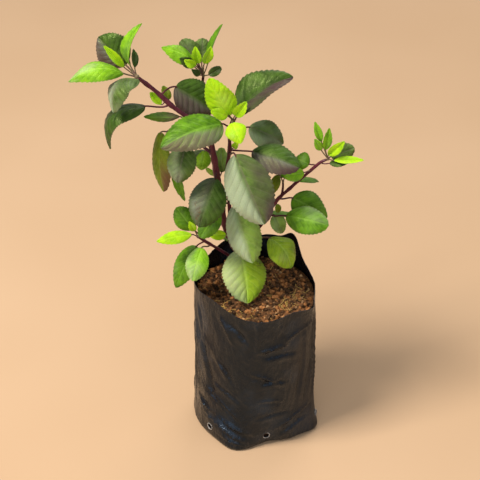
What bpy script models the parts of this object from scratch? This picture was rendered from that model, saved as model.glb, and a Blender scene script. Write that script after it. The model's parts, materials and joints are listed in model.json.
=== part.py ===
"""A holy basil plant in its black film nursery bag, at real size.

The bag stands on the ground at the origin, +Z is up, and the front of the plant faces -Y.
Sizes in this file are in millimetres, and MM turns them into metres.
"""
import math
from collections import namedtuple

import bmesh
import bpy
from mathutils import Vector, noise

MM = 0.001

# Nursery bag, a 15 by 20 cm film tube filled to about 94 mm across
BAG_RADIUS = 46.6
BAG_HEIGHT = 131.0
BAG_FILM = 0.8
BAG_BOTTOM_ROUND = 4.0
BAG_SIDES = 40
BAG_RINGS = (0.0, 1.2, 4.0, 14.0, 26.0, 40.0, 55.0, 70.0, 85.0, 99.0, 112.0, 123.0, 131.0)
BAG_FLARE = 1.2
BAG_WRINKLE = 0.7
WRINKLE_TURNS = 2.4
WRINKLE_RISE = 21.0
DRAIN_HOLE_RADIUS = 2.5
DRAIN_HOLE_SIDES = 10
DRAIN_PUNCH_LENGTH = 8.0
DRAIN_HOLE_HEIGHT = 10.5
DRAIN_HOLE_COUNT = 6
DRAIN_HOLE_FIRST = -138.0

# Each bulge of the film is its bearing and half width in degrees, and its size
FOOT_BULGES = ((-110.0, 15.0, 5.0), (-74.0, 20.0, -6.5), (-24.0, 13.0, 7.0), (165.0, 30.0, 1.5))
RIM_BULGES = ((-138.0, 26.0, -3.0), (-84.0, 22.0, 3.0), (-38.0, 14.0, 6.5), (10.0, 25.0, -1.0),
              (100.0, 30.0, 1.5))
RIM_PEAKS = ((-140.0, 26.0, 3.5), (-84.0, 26.0, -2.5), (-25.0, 14.0, -5.0), (12.0, 22.0, -6.5),
             (36.0, 7.0, -3.0), (50.0, 13.0, 17.0), (74.0, 16.0, 9.0), (112.0, 24.0, 8.0))
FOOT_REACH = 24.0
RIM_REACH = 26.0

# Compost inside the bag
SOIL_HEIGHT = 119.0
SOIL_CROWN = 1.5
SOIL_LUMP = 2.2
SOIL_LUMP_SPAN = 11.0
SOIL_LUMP_LAYER = 3.0
SOIL_GAP = 0.55
SOIL_TOP_SHARE = 0.42
SOIL_WALL_SHARE = 0.9
SOIL_RINGS = 14
ROOT_END = (-8.0, 18.0, 82.0)
ROOT_HOLE_SLACK = 0.4
ROOT_HOLE_DEPTH = 90.0
ROOT_HOLE_SIDES = 12
SEAT = 0.3

# Stems
STEM_STEP = 8.0
STEM_SWELL = 0.28
STEM_SWELL_LENGTH = 2.6

# Leaves
PETIOLE_THICK = 1.3
BLADE_THICK = 0.7
PETIOLE_HALF = 0.62
TIP_HALF = 0.4
PETIOLE_ROW = 5.0
PETIOLE_MOST_ROWS = 4
PETIOLE_BEND = 0.35
PETIOLE_ASIDE = 0.4
WIDE_LEAF = 25.0
TOOTH_DEPTH = 0.045
TOOTH_LEAN = 0.16
QUILT = 0.07
WAVE = 0.05
WAVE_RUN = 9.0
WAVE_TURN = 2.0
BUD_SIZE = 1.25
BUD_CORE = 0.4

# Rows of a blade by its width, two for each tooth of the margin
BLADE_ROWS = ((25.0, 14), (17.0, 12), (11.0, 8), (0.0, 6))

# Outline of a blade: where it is widest, and how blunt it is
FORMS = {"oval": (0.92, 0.5), "egg": (0.74, 0.62), "lance": (0.86, 0.78)}

Stem = namedtuple("Stem", "points foot_radius tip_radius")
Leaf = namedtuple("Leaf", "name stem foot base tip width face arch fold form tone")

STEMS = {
    "main": Stem(((-8, 18, 124), (-10, 17, 138), (-16, 14, 153), (-22, 10, 172), (-25, 6, 193),
                  (-29, 0, 232), (-33, -3, 261), (-40, -4, 271), (-51, -4, 281), (-60, -4, 289),
                  (-70, -4, 300), (-82, -4, 311)), 2.7, 1.45),
    "centre": Stem(((-18, 12, 162), (-19, 8, 186), (-20, 6, 210), (-21, 4, 229), (-19, 2, 248),
                    (-19, 0, 262), (-17, 0, 273)), 1.6, 1.15),
    "top": Stem(((-32, -2, 250), (-37, 10, 262), (-39, 20, 274), (-39, 26, 284),
                 (-38, 28, 293)), 1.4, 1.0),
    "right": Stem(((-13, 15, 144), (-4, 9, 162), (4, 6, 179), (15, 4, 201), (25, 2, 214),
                   (35, 0, 226), (46, -2, 239), (51, -2, 242)), 1.6, 0.9),
    "right_side": Stem(((19, 3, 206), (20, 4, 213), (20, 4, 218)), 0.9, 0.75),
    "low_left": Stem(((-11, 16, 134), (-19, 9, 147), (-27, 4, 157), (-34, 0, 165),
                      (-42, -4, 174)), 1.3, 0.9),
    "mid_left": Stem(((-31, -2, 247), (-41, 0, 254), (-52, -1, 261), (-62, -3, 266)), 1.15, 0.9),
}

# Shoot tips: young leaves that grow together from one bud at the end of a stem
SHOOT_TIPS = {
    "shoot_tip_left": (
        Leaf("L1", "main", None, (-92, -6, 316), (-130, -14, 314), 19,
             (0.1, -0.4, 0.9), 11, -22, "lance", "fresh"),
        Leaf("L2", "main", None, (-91, 2, 318), (-110, 12, 335), 30,
             (-0.3, -0.9, 0.2), 3, -16, "oval", "dark"),
        Leaf("L3", "main", None, (-92, -4, 320), (-105, -6, 338), 7,
             (0.3, -0.9, 0.3), 1, 30, "lance", "lime"),
        Leaf("L4", "main", None, (-88, 0, 319), (-79, 4, 350), 11,
             (-0.7, -0.6, 0.3), 7, 25, "lance", "fresh"),
        Leaf("L5", "main", None, (-85, 2, 316), (-86, 9, 327), 6,
             (0.6, -0.8, 0.1), 1, 10, "lance", "dark"),
    ),
    "shoot_tip_top": (
        Leaf("T1", "top", None, (-43, 26, 306), (-67, 22, 321), 15,
             (0.2, -0.6, 0.8), 4, -22, "lance", "fresh"),
        Leaf("T2a", "top", None, (-42, 28, 306), (-53, 33, 321), 16,
             (-0.2, -0.9, 0.4), 1, -15, "oval", "grey"),
        Leaf("T2b", "top", None, (-39, 29, 305), (-38, 35, 321), 15,
             (0.1, -0.9, 0.4), 1, -10, "oval", "grey"),
        Leaf("T3a", "top", None, (-41, 25, 306), (-43, 23, 321), 8,
             (-0.2, -0.9, 0.2), 1, 20, "lance", "lime"),
        Leaf("T3b", "top", None, (-37, 25, 306), (-32, 23, 321), 8,
             (0.3, -0.9, 0.2), 1, 20, "lance", "lime"),
        Leaf("T3c", "top", None, (-43, 22, 306), (-51, 18, 313), 7,
             (-0.1, -0.9, 0.4), 1, 20, "lance", "lime"),
        Leaf("T4", "top", None, (-35, 28, 303), (-24, 32, 334), 8,
             (-0.9, -0.4, 0.3), 2, 20, "lance", "green"),
        Leaf("T5", "top", None, (-45, 24, 305), (-54, 17, 315), 8,
             (0.2, -0.9, 0.4), 1, 10, "lance", "dark"),
        Leaf("T6", "top", None, (-40, 26, 296), (-46, 22, 303), 5,
             (0.1, -0.9, 0.4), 1, 10, "lance", "dark"),
        Leaf("T7", "top", None, (-34, 28, 295), (-25, 30, 300), 7,
             (0.1, -0.9, 0.4), 1, 10, "oval", "grey"),
    ),
    "shoot_tip_centre": (
        Leaf("C1", "centre", None, (-19, -2, 279), (-33, -4, 311), 22,
             (-0.2, -0.9, 0.4), 3, -14, "egg", "lime"),
        Leaf("C2", "centre", None, (-15, -5, 281), (-7, -9, 295), 9,
             (0.1, -0.9, 0.4), 1, 20, "egg", "lime"),
        Leaf("C3", "centre", None, (-20, -4, 280), (-32, -10, 288), 9,
             (0, -0.8, 0.6), 1, -10, "egg", "lime"),
        Leaf("C4", "centre", None, (-17, -6, 276), (-11, -18, 266), 16,
             (0, -0.8, 0.6), 3, -14, "egg", "lime"),
    ),
    "shoot_tip_right": (
        Leaf("R1", "right", None, (47, -2, 250), (42, -4, 261), 6,
             (0, -0.9, 0.4), 1, 10, "lance", "fresh"),
        Leaf("R2", "right", None, (47, 0, 256), (42, 3, 271), 6,
             (0, -0.9, 0.4), 1, 15, "lance", "fresh"),
        Leaf("R3", "right", None, (50, -3, 251), (52, -4, 270), 7,
             (0.1, -0.9, 0.3), 1, 20, "lance", "fresh"),
        Leaf("R4", "right", None, (52, -4, 247), (63, -9, 262), 8,
             (0, -0.9, 0.4), 1, 20, "lance", "lime"),
        Leaf("R5", "right", None, (54, -1, 244), (71, 1, 250), 14,
             (0, -0.9, 0.4), 1, -10, "oval", "grey"),
        Leaf("R6", "right", None, (56, -6, 244), (77, -12, 248), 6,
             (0, -0.7, 0.7), 1, 20, "lance", "lime"),
    ),
    "shoot_tip_low_left": (
        Leaf("S1", "low_left", None, (-47, -7, 179), (-73, -16, 179), 11,
             (0, -0.6, 0.8), 2, -14, "lance", "lime"),
        Leaf("S2", "low_left", None, (-45, -4, 180), (-49, -6, 190), 6,
             (0, -0.9, 0.4), 1, 15, "lance", "lime"),
    ),
    "shoot_tip_mid_left": (
        Leaf("M1", "mid_left", None, (-68, -3, 266), (-67, -8, 218), 17,
             (-0.5, -0.8, 0.3), 4, -20, "oval", "olive"),
    ),
    "shoot_tip_right_side": (
        Leaf("R10", "right_side", None, (21, 6, 221), (18, 11, 225), 9,
             (0, -0.8, 0.6), 1, -10, "egg", "green"),
        Leaf("R11", "right_side", None, (16, 2, 226), (13, -1, 212), 8,
             (-0.3, -0.9, 0.2), 2, -20, "egg", "olive"),
    ),
}

# Grown leaves: foot on the stem, base and tip of the blade, width, side that faces out, arch,
# fold in degrees, form and tone
LEAVES = (
    Leaf("leaf_left_droop", "main", (-77, -4, 306), (-82, -8, 313), (-99, -25, 296), 28,
         (-0.6, -0.2, 0.75), 12, -20, "oval", "grey"),
    Leaf("leaf_left_arched", "main", (-61, -4, 290), (-78, -5, 289), (-104, -11, 257), 27,
         (-0.6, -0.1, 0.8), 17, -20, "egg", "dark"),
    Leaf("leaf_left_behind", "main", (-67, -4, 297), (-57, 5, 299), (-30, 10, 275), 29,
         (0.1, -0.8, 0.6), 3, -16, "oval", "dark"),
    Leaf("bud_left_upper", "main", (-61, -4, 291), (-62, 2, 290), (-66, 6, 299), 7,
         (0.2, -0.9, 0.4), 1, 20, "egg", "olive"),
    Leaf("bud_left_lower", "main", (-63, -4, 293), (-67, -3, 289), (-75, 2, 296), 7,
         (0.2, -0.8, 0.5), 1, 20, "lance", "lime"),
    Leaf("leaf_left_edge_on", "main", (-47, -4, 277), (-54, -3, 279), (-80, 0, 277), 8,
         (0.1, -0.9, 0.3), 2, -20, "lance", "green"),
    Leaf("leaf_centre_right", "centre", (-17, 0, 271), (-13, 4, 277), (26, 13, 302), 32,
         (-0.1, -0.2, 0.95), 7, 18, "egg", "dark"),
    Leaf("leaf_centre_left", "centre", (-18, 0, 269), (-24, -6, 275), (-67, -27, 268), 30,
         (-0.1, -0.5, 0.85), 6, -8, "egg", "green"),
    Leaf("leaf_right_upper", "centre", (-18, 1, 261), (-5, 15, 259), (20, 13, 246), 22,
         (0.1, -0.7, 0.7), 5, -14, "oval", "grey"),
    Leaf("leaf_right_middle", "centre", (-19, 2, 248), (-3, -2, 249), (31, -16, 244), 24,
         (0.1, -0.6, 0.8), 4, -14, "oval", "dark"),
    Leaf("leaf_front_large", "centre", (-19, 2, 246), (-15, -14, 254), (6, -39, 211), 36,
         (-0.1, -0.8, 0.6), 5, -18, "oval", "grey"),
    Leaf("leaf_front_left", "main", (-29, 0, 232), (-29, -8, 230), (-41, -27, 200), 28,
         (-0.1, -0.9, 0.4), 4, -14, "oval", "dark"),
    Leaf("leaf_front_lower", "main", (-24, 6, 200), (-15, -2, 202), (-2, -22, 164), 27,
         (-0.2, -0.8, 0.5), 4, -18, "oval", "pale"),
    Leaf("leaf_front_low_broad", "main", (-16, 14, 153), (-12, 5, 156), (-6, -23, 127), 35,
         (0.3, -0.7, 0.65), 6, -10, "oval", "yellow"),
    Leaf("leaf_right_over_soil", "right", (-2, 8, 167), (11, 4, 168), (27, -8, 149), 26,
         (0.5, -0.5, 0.7), 6, -12, "oval", "yellow"),
    Leaf("leaf_right_low_pale", "right", (5, 6, 182), (14, 4, 189), (20, 0, 175), 12,
         (0.1, -0.8, 0.5), 2, 10, "egg", "pale"),
    Leaf("bud_right_low", "right", (14, 4, 199), (16, 8, 196), (17, 8, 188), 5,
         (0.3, -0.9, 0.3), 1, 10, "egg", "olive"),
    Leaf("leaf_right_round_back", "right", (18, 4, 204), (27, 3, 205), (53, -2, 191), 24,
         (0.1, -0.7, 0.7), 3, -14, "egg", "green"),
    Leaf("leaf_right_round_front", "right", (9, 5, 191), (22, -10, 198), (53, -21, 197), 22,
         (0.1, -0.7, 0.7), 3, -14, "oval", "green"),
    Leaf("leaf_right_thin", "right", (47, -2, 240), (53, -4, 240), (67, -7, 243), 7,
         (0, -0.7, 0.7), 1, 10, "lance", "dark"),
    Leaf("leaf_right_high", "right", (43, -1, 236), (39, 4, 234), (29, 9, 236), 14,
         (0, -0.8, 0.6), 2, -10, "oval", "green"),
    Leaf("leaf_right_small_round", "right", (40, -1, 232), (35, -4, 232), (20, -7, 231), 11,
         (0, -0.8, 0.6), 2, -10, "oval", "fresh"),
    Leaf("leaf_low_left_back", "low_left", (-37, -1, 168), (-46, 2, 177), (-59, 9, 192), 17,
         (0.1, -0.9, 0.4), 2, -12, "oval", "green"),
    Leaf("leaf_low_left_upper", "main", (-25, 6, 194), (-27, -2, 196), (-41, -14, 181), 16,
         (-0.2, -0.8, 0.5), 2, -16, "oval", "green"),
    Leaf("leaf_low_centre", "main", (-20, 11, 166), (-22, 5, 170), (-35, 0, 173), 8,
         (0, -0.8, 0.5), 1, 15, "lance", "lime"),
    Leaf("leaf_low_left_front", "low_left", (-34, 0, 165), (-40, -7, 167), (-47, -22, 147), 18,
         (-0.1, -0.8, 0.6), 3, -16, "oval", "fresh"),
    Leaf("leaf_low_left_outer", "low_left", (-38, -2, 169), (-44, -1, 164), (-60, -13, 134), 19,
         (-0.3, -0.8, 0.5), 4, -14, "egg", "green"),
    Leaf("leaf_mid_left_front", "mid_left", (-48, -1, 259), (-50, -9, 260), (-56, -23, 236), 22,
         (-0.1, -0.9, 0.4), 4, -16, "oval", "grey"),
    Leaf("leaf_mid_left_narrow", "mid_left", (-57, -2, 263), (-60, 1, 242), (-52, -4, 207), 8,
         (-0.3, -0.9, 0.2), 3, 10, "lance", "green"),
    Leaf("leaf_mid_left_bright", "main", (-31, -1, 243), (-37, 5, 245), (-40, 7, 227), 12,
         (0.1, -0.9, 0.3), 3, -16, "oval", "fresh"),
    Leaf("leaf_mid_behind_lower", "main", (-29, 0, 228), (-31, 4, 228), (-35, 12, 221), 9,
         (0, -0.9, 0.3), 1, -10, "oval", "fresh"),
    Leaf("leaf_mid_between", "main", (-28, 2, 222), (-25, 7, 225), (-25, 14, 242), 10,
         (0, -0.9, 0.4), 1, 10, "oval", "pale"),
    Leaf("bud_centre", "centre", (-19, 2, 250), (-16, -2, 252), (-13, -5, 259), 5,
         (0, -0.8, 0.6), 1, 20, "oval", "lime"),
    Leaf("bud_main", "main", (-27, 3, 212), (-24, -2, 213), (-20, -6, 218), 5,
         (0, -0.8, 0.6), 1, 20, "oval", "lime"),
    Leaf("leaf_back_high", "main", (-31, -1, 240), (-33, 10, 240), (-45, 34, 218), 26,
         (-0.2, 0.7, 0.7), 5, -16, "egg", "grey"),
    Leaf("leaf_back_centre", "centre", (-20, 6, 210), (-12, 14, 214), (4, 40, 198), 27,
         (0.2, 0.7, 0.7), 5, -16, "egg", "dark"),
    Leaf("leaf_back_left", "main", (-23, 8, 178), (-32, 17, 180), (-48, 40, 160), 24,
         (-0.2, 0.7, 0.7), 4, -14, "egg", "green"),
    Leaf("leaf_back_low", "main", (-13, 15, 143), (-14, 26, 148), (-18, 52, 138), 26,
         (0, 0.6, 0.8), 5, -14, "oval", "pale"),
    Leaf("leaf_back_right", "right", (4, 6, 179), (12, 16, 180), (30, 36, 164), 22,
         (0.3, 0.7, 0.7), 4, -14, "oval", "green"),
    Leaf("leaf_back_right_high", "right", (25, 2, 214), (30, 12, 214), (44, 30, 202), 20,
         (0.3, 0.7, 0.7), 3, -14, "oval", "green"),
)

# Colour and roughness of each finish
FINISHES = {
    "bag_film": ((0.018, 0.018, 0.02), 0.38),
    "compost": ((0.2, 0.085, 0.035), 0.95),
    "stem_purple": ((0.075, 0.018, 0.028), 0.45),
    "leaf_dark": ((0.035, 0.075, 0.02), 0.42),
    "leaf_grey": ((0.115, 0.16, 0.085), 0.4),
    "leaf_green": ((0.075, 0.19, 0.02), 0.42),
    "leaf_fresh": ((0.16, 0.36, 0.05), 0.42),
    "leaf_pale": ((0.2, 0.33, 0.11), 0.45),
    "leaf_yellow": ((0.28, 0.42, 0.05), 0.45),
    "leaf_lime": ((0.45, 0.65, 0.03), 0.45),
    "leaf_olive": ((0.14, 0.17, 0.02), 0.45),
}


def clear_scene():
    for obj in list(bpy.data.objects):
        bpy.data.objects.remove(obj, do_unlink=True)


def make_collection(name):
    group = bpy.data.collections.new(name)
    bpy.context.scene.collection.children.link(group)
    return group


def make_finish(name):
    colour, roughness = FINISHES[name]
    material = bpy.data.materials.new(name)
    material.use_nodes = True
    shader = material.node_tree.nodes["Principled BSDF"]
    shader.inputs["Base Color"].default_value = (*colour, 1.0)
    shader.inputs["Roughness"].default_value = roughness
    shader.inputs["Metallic"].default_value = 0.0
    return material


def take_primitive(name, group, finish):
    """Name the primitive that was just added and put it in its own collection."""
    obj = bpy.context.active_object
    obj.name = name
    obj.data.name = name
    for holder in list(obj.users_collection):
        holder.objects.unlink(obj)
    group.objects.link(obj)
    if finish is not None:
        obj.data.materials.append(finish)
    return obj


def apply_modifiers(obj):
    """Swap an object's mesh for the one that its modifiers give."""
    bpy.context.view_layer.update()
    evaluated = obj.evaluated_get(bpy.context.evaluated_depsgraph_get())
    mesh = bpy.data.meshes.new_from_object(evaluated)
    obj.modifiers.clear()
    obj.data = mesh


def bulge(bearing, bulges):
    """Sum of the rounded bulges at one bearing, in degrees."""
    total = 0.0
    for centre, half_width, size in bulges:
        away = (bearing - centre + 180.0) % 360.0 - 180.0
        total += size * math.exp(-((away / half_width) ** 2))
    return total


def rim_height(bearing):
    return BAG_HEIGHT + bulge(bearing, RIM_PEAKS)


def bag_point(bearing, share_up, inset=0.0):
    """Point on the film's outer side, share_up of the way from the ground to the rim."""
    height = share_up * rim_height(bearing)
    radius = BAG_RADIUS
    radius += bulge(bearing, FOOT_BULGES) * math.exp(-height / FOOT_REACH)
    radius += bulge(bearing, RIM_BULGES) * math.exp(-(rim_height(bearing) - height) / RIM_REACH)
    radius += BAG_FLARE * math.exp(-height / FOOT_REACH)
    angle = math.radians(bearing)
    turn = Vector((math.cos(angle), math.sin(angle), 0.0)) * WRINKLE_TURNS
    radius += BAG_WRINKLE * noise.noise(turn + Vector((0.0, 0.0, height / WRINKLE_RISE)))
    if height < BAG_BOTTOM_ROUND:
        rise = 1.0 - height / BAG_BOTTOM_ROUND
        radius -= BAG_BOTTOM_ROUND * (1.0 - math.sqrt(max(0.0, 1.0 - rise * rise)))
    radius -= inset
    return Vector((radius * math.cos(angle), radius * math.sin(angle), height))


def vertex_bearing(co):
    return math.degrees(math.atan2(co.y, co.x))


def cut_away(body, cutter, name):
    """Cut the cutter's room out of a body and keep the cutter out of the render."""
    cutter.hide_render = True
    cutter.display_type = "WIRE"
    cut = body.modifiers.new(name, "BOOLEAN")
    cut.object = cutter


def make_bag(group, cutters, finish):
    """Open film tube with a flat bottom, crumpled rim and punched drain holes."""
    bpy.ops.mesh.primitive_cylinder_add(vertices=BAG_SIDES, radius=1.0, depth=1.0, end_fill_type="NGON")
    bag = take_primitive("grow_bag", group, finish)
    mesh = bmesh.new()
    mesh.from_mesh(bag.data)
    top = [face for face in mesh.faces if face.normal.z > 0.9]
    bmesh.ops.delete(mesh, geom=top, context="FACES_ONLY")
    upright = [edge for edge in mesh.edges if abs(edge.verts[0].co.z - edge.verts[1].co.z) > 0.5]
    bmesh.ops.subdivide_edges(mesh, edges=upright, cuts=len(BAG_RINGS) - 2, use_grid_fill=True)
    steps = len(BAG_RINGS) - 1
    for vertex in mesh.verts:
        ring = round((vertex.co.z + 0.5) * steps)
        share = BAG_RINGS[ring] / BAG_HEIGHT
        vertex.co = bag_point(vertex_bearing(vertex.co), share) * MM
    mesh.to_mesh(bag.data)
    mesh.free()
    wall = bag.modifiers.new("film", "SOLIDIFY")
    wall.thickness = BAG_FILM * MM
    wall.offset = -1.0
    for index in range(DRAIN_HOLE_COUNT):
        bearing = DRAIN_HOLE_FIRST + index * 360.0 / DRAIN_HOLE_COUNT
        punch_hole(bag, cutters, bearing)


def punch_hole(bag, cutters, bearing):
    share = DRAIN_HOLE_HEIGHT / rim_height(bearing)
    centre = bag_point(bearing, share) * MM
    turn = (0.0, math.radians(90.0), math.radians(bearing))
    bpy.ops.mesh.primitive_cylinder_add(vertices=DRAIN_HOLE_SIDES, radius=DRAIN_HOLE_RADIUS * MM,
                                        depth=DRAIN_PUNCH_LENGTH * MM, location=centre, rotation=turn)
    cut_away(bag, take_primitive("drain_punch", cutters, None), "drain_hole")


def make_soil(group, cutters, finish):
    """Compost that fills the bag to a lumpy top, with a plain hole for the stem."""
    bpy.ops.mesh.primitive_uv_sphere_add(segments=BAG_SIDES, ring_count=SOIL_RINGS, radius=1.0)
    soil = take_primitive("potting_soil", group, finish)
    for vertex in soil.data.vertices:
        down = math.acos(max(-1.0, min(1.0, vertex.co.z))) / math.pi
        vertex.co = soil_point(vertex_bearing(vertex.co), down) * MM
    middle = Vector(ROOT_END) + Vector((0.0, 0.0, 0.5 * ROOT_HOLE_DEPTH - SEAT))
    radius = STEMS["main"].foot_radius + ROOT_HOLE_SLACK
    bpy.ops.mesh.primitive_cylinder_add(vertices=ROOT_HOLE_SIDES, radius=radius * MM,
                                        depth=ROOT_HOLE_DEPTH * MM, location=middle * MM)
    cut_away(soil, take_primitive("stem_hole", cutters, None), "stem_hole")


def soil_point(bearing, down):
    """Point of the compost's surface; down runs from 0 at the top's middle to 1 below."""
    inset = BAG_FILM + SOIL_GAP
    floor = BAG_FILM + SOIL_GAP
    wall_top = SOIL_HEIGHT / rim_height(bearing)
    wall_foot = (BAG_BOTTOM_ROUND + 0.5) / rim_height(bearing)
    if down < SOIL_TOP_SHARE:
        out = down / SOIL_TOP_SHARE
        edge = bag_point(bearing, wall_top, inset)
        point = Vector((edge.x * out, edge.y * out, SOIL_HEIGHT))
        rough = noise.noise(Vector((point.x / SOIL_LUMP_SPAN, point.y / SOIL_LUMP_SPAN, SOIL_LUMP_LAYER)))
        point.z += SOIL_LUMP * rough * (1.0 - out ** 6) + SOIL_CROWN * (1.0 - out * out)
        return point
    if down < SOIL_WALL_SHARE:
        along = (down - SOIL_TOP_SHARE) / (SOIL_WALL_SHARE - SOIL_TOP_SHARE)
        return bag_point(bearing, wall_top + (wall_foot - wall_top) * along, inset)
    edge = bag_point(bearing, wall_foot, inset + BAG_BOTTOM_ROUND * 0.6)
    inward = (1.0 - down) / (1.0 - SOIL_WALL_SHARE)
    return Vector((edge.x * inward, edge.y * inward, floor))


def catmull(before, start, end, after, share):
    """Point on the smooth curve through four route points."""
    square = share * share
    cube = square * share
    return 0.5 * (2.0 * start + (end - before) * share
                  + (2.0 * before - 5.0 * start + 4.0 * end - after) * square
                  + (3.0 * start - before - 3.0 * end + after) * cube)


def stem_path(name):
    """Centre line of a stem as points about STEM_STEP apart."""
    route = [Vector(point) for point in STEMS[name].points]
    route = [2.0 * route[0] - route[1]] + route + [2.0 * route[-1] - route[-2]]
    path = []
    for index in range(1, len(route) - 2):
        span = (route[index + 1] - route[index]).length
        steps = max(1, round(span / STEM_STEP))
        for step in range(steps):
            path.append(catmull(*route[index - 1:index + 3], step / steps))
    path.append(route[-2])
    return path


def path_lengths(path):
    lengths = [0.0]
    for start, end in zip(path, path[1:]):
        lengths.append(lengths[-1] + (end - start).length)
    return lengths


def stem_radius(name, share):
    stem = STEMS[name]
    return stem.foot_radius + (stem.tip_radius - stem.foot_radius) * share


def nearest_on_stem(name, foot):
    """Closest point of a stem's centre line, its distance along it, its radius and its run."""
    path = stem_path(name)
    lengths = path_lengths(path)
    foot = Vector(foot)
    best = None
    for index in range(len(path) - 1):
        run = path[index + 1] - path[index]
        share = max(0.0, min(1.0, (foot - path[index]).dot(run) / run.length_squared))
        point = path[index] + run * share
        away = (foot - point).length
        if best is None or away < best[0]:
            best = (away, point, lengths[index] + run.length * share, run.normalized())
    _, point, along, run = best
    return point, along, stem_radius(name, along / lengths[-1]), run


def make_stem_tube(name, group, finish, swellings):
    """Tapered tube along one stem, thicker at its leaf nodes."""
    path = stem_path(name)
    lengths = path_lengths(path)
    radii = []
    for along in lengths:
        swell = sum(math.exp(-(((along - node) / STEM_SWELL_LENGTH) ** 2)) for node in swellings)
        radii.append(stem_radius(name, along / lengths[-1]) * (1.0 + STEM_SWELL * min(1.0, swell)))
    if name == "main":
        path.insert(0, Vector(ROOT_END))
        radii.insert(0, STEMS[name].foot_radius)
        radii[1] = STEMS[name].foot_radius
    curve = bpy.data.curves.new(name, "CURVE")
    curve.dimensions = "3D"
    curve.bevel_depth = MM
    curve.bevel_resolution = 2
    curve.use_fill_caps = True
    spline = curve.splines.new("POLY")
    spline.points.add(len(path) - 1)
    for control, point, radius in zip(spline.points, path, radii):
        control.co = (*(point * MM), 1.0)
        control.radius = radius
    rail = bpy.data.objects.new(name, curve)
    group.objects.link(rail)
    bpy.context.view_layer.update()
    mesh = bpy.data.meshes.new_from_object(rail.evaluated_get(bpy.context.evaluated_depsgraph_get()))
    bpy.data.objects.remove(rail, do_unlink=True)
    weld_mesh(mesh)
    mesh.materials.clear()
    mesh.materials.append(finish)
    tube = bpy.data.objects.new(f"stem_{name}", mesh)
    group.objects.link(tube)
    return tube


def weld_mesh(mesh):
    work = bmesh.new()
    work.from_mesh(mesh)
    bmesh.ops.remove_doubles(work, verts=work.verts, dist=0.00001)
    bmesh.ops.recalc_face_normals(work, faces=work.faces)
    work.to_mesh(mesh)
    work.free()


def fuse(first, others, solver):
    """Union the others into the first object and remove them."""
    pieces = bpy.data.collections.new("pieces")
    for piece in others:
        pieces.objects.link(piece)
    union = first.modifiers.new("fuse", "BOOLEAN")
    union.operation = "UNION"
    union.operand_type = "COLLECTION"
    union.collection = pieces
    union.solver = solver
    apply_modifiers(first)
    for piece in others:
        bpy.data.objects.remove(piece, do_unlink=True)
    bpy.data.collections.remove(pieces)


def make_stems(group, finish):
    """All the woody and green stems of the plant, grown as one piece."""
    swellings = {name: [] for name in STEMS}
    for leaf in LEAVES:
        swellings[leaf.stem].append(nearest_on_stem(leaf.stem, leaf.foot)[1])
    tubes = [make_stem_tube(name, group, finish, swellings[name]) for name in STEMS]
    stems = tubes[0]
    fuse(stems, tubes[1:], "EXACT")
    stems.name = "branched_stem"
    stems.data.name = "branched_stem"


def leaf_half_width(leaf, along):
    """Half the blade's width at a share of its length."""
    widest, blunt = FORMS[leaf.form]
    swell = max(0.0, math.sin(math.pi * along ** widest))
    return max(TIP_HALF, 0.5 * leaf.width * swell ** blunt)


def bezier(points, share):
    """Point and direction on a Bezier curve through De Casteljau's construction."""
    work = list(points)
    while len(work) > 2:
        work = [a.lerp(b, share) for a, b in zip(work, work[1:])]
    return work[0].lerp(work[1], share), (work[1] - work[0]).normalized()


def face_normal(direction, face):
    """Part of the facing direction that is square to the midrib."""
    normal = face - direction * face.dot(direction)
    return normal.normalized()


def leaf_midrib(leaf, start, out, rows):
    """Rows of the leaf: point, direction, facing normal and share along the blade."""
    base = Vector(leaf.base)
    tip = Vector(leaf.tip)
    face = Vector(leaf.face).normalized()
    along = (tip - base).normalized()
    bend = base.lerp(tip, 0.5) + face_normal(along, face) * 2.0 * leaf.arch
    blade = (base, bend, tip)
    start_direction = bezier(blade, 0.0)[1]
    length = (base - start).length
    heading = (start_direction + (base - start).normalized()).normalized()
    reach = length * PETIOLE_BEND
    petiole = (start, start + out * reach, base - heading * reach, base)
    petiole_rows = max(1, min(PETIOLE_MOST_ROWS, round(length / PETIOLE_ROW)))
    result = []
    for row in range(rows + 1):
        share = row / rows
        point, direction = bezier(blade, share)
        result.append((point, direction, face_normal(direction, face), share))
    for row in reversed(range(petiole_rows)):
        point, direction = bezier(petiole, row / petiole_rows)
        _, next_direction, next_normal, _ = result[0]
        side = face_normal(direction, next_direction.cross(next_normal))
        result.insert(0, (point, direction, side.cross(direction), -1.0))
    return result


def blade_rows(leaf):
    return next(rows for width, rows in BLADE_ROWS if leaf.width >= width)


def petiole_start(leaf):
    """Where a grown leaf's petiole leaves the skin of its stem, and which way it heads."""
    foot, _, radius, run = nearest_on_stem(leaf.stem, leaf.foot)
    reach = Vector(leaf.base) - foot
    sideways = (reach - run * reach.dot(run)).normalized()
    seat = radius * (1.0 + STEM_SWELL) + SEAT + PETIOLE_THICK * 0.25
    out = (sideways + PETIOLE_ASIDE * reach.normalized()).normalized()
    return foot + sideways * seat, out


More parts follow.
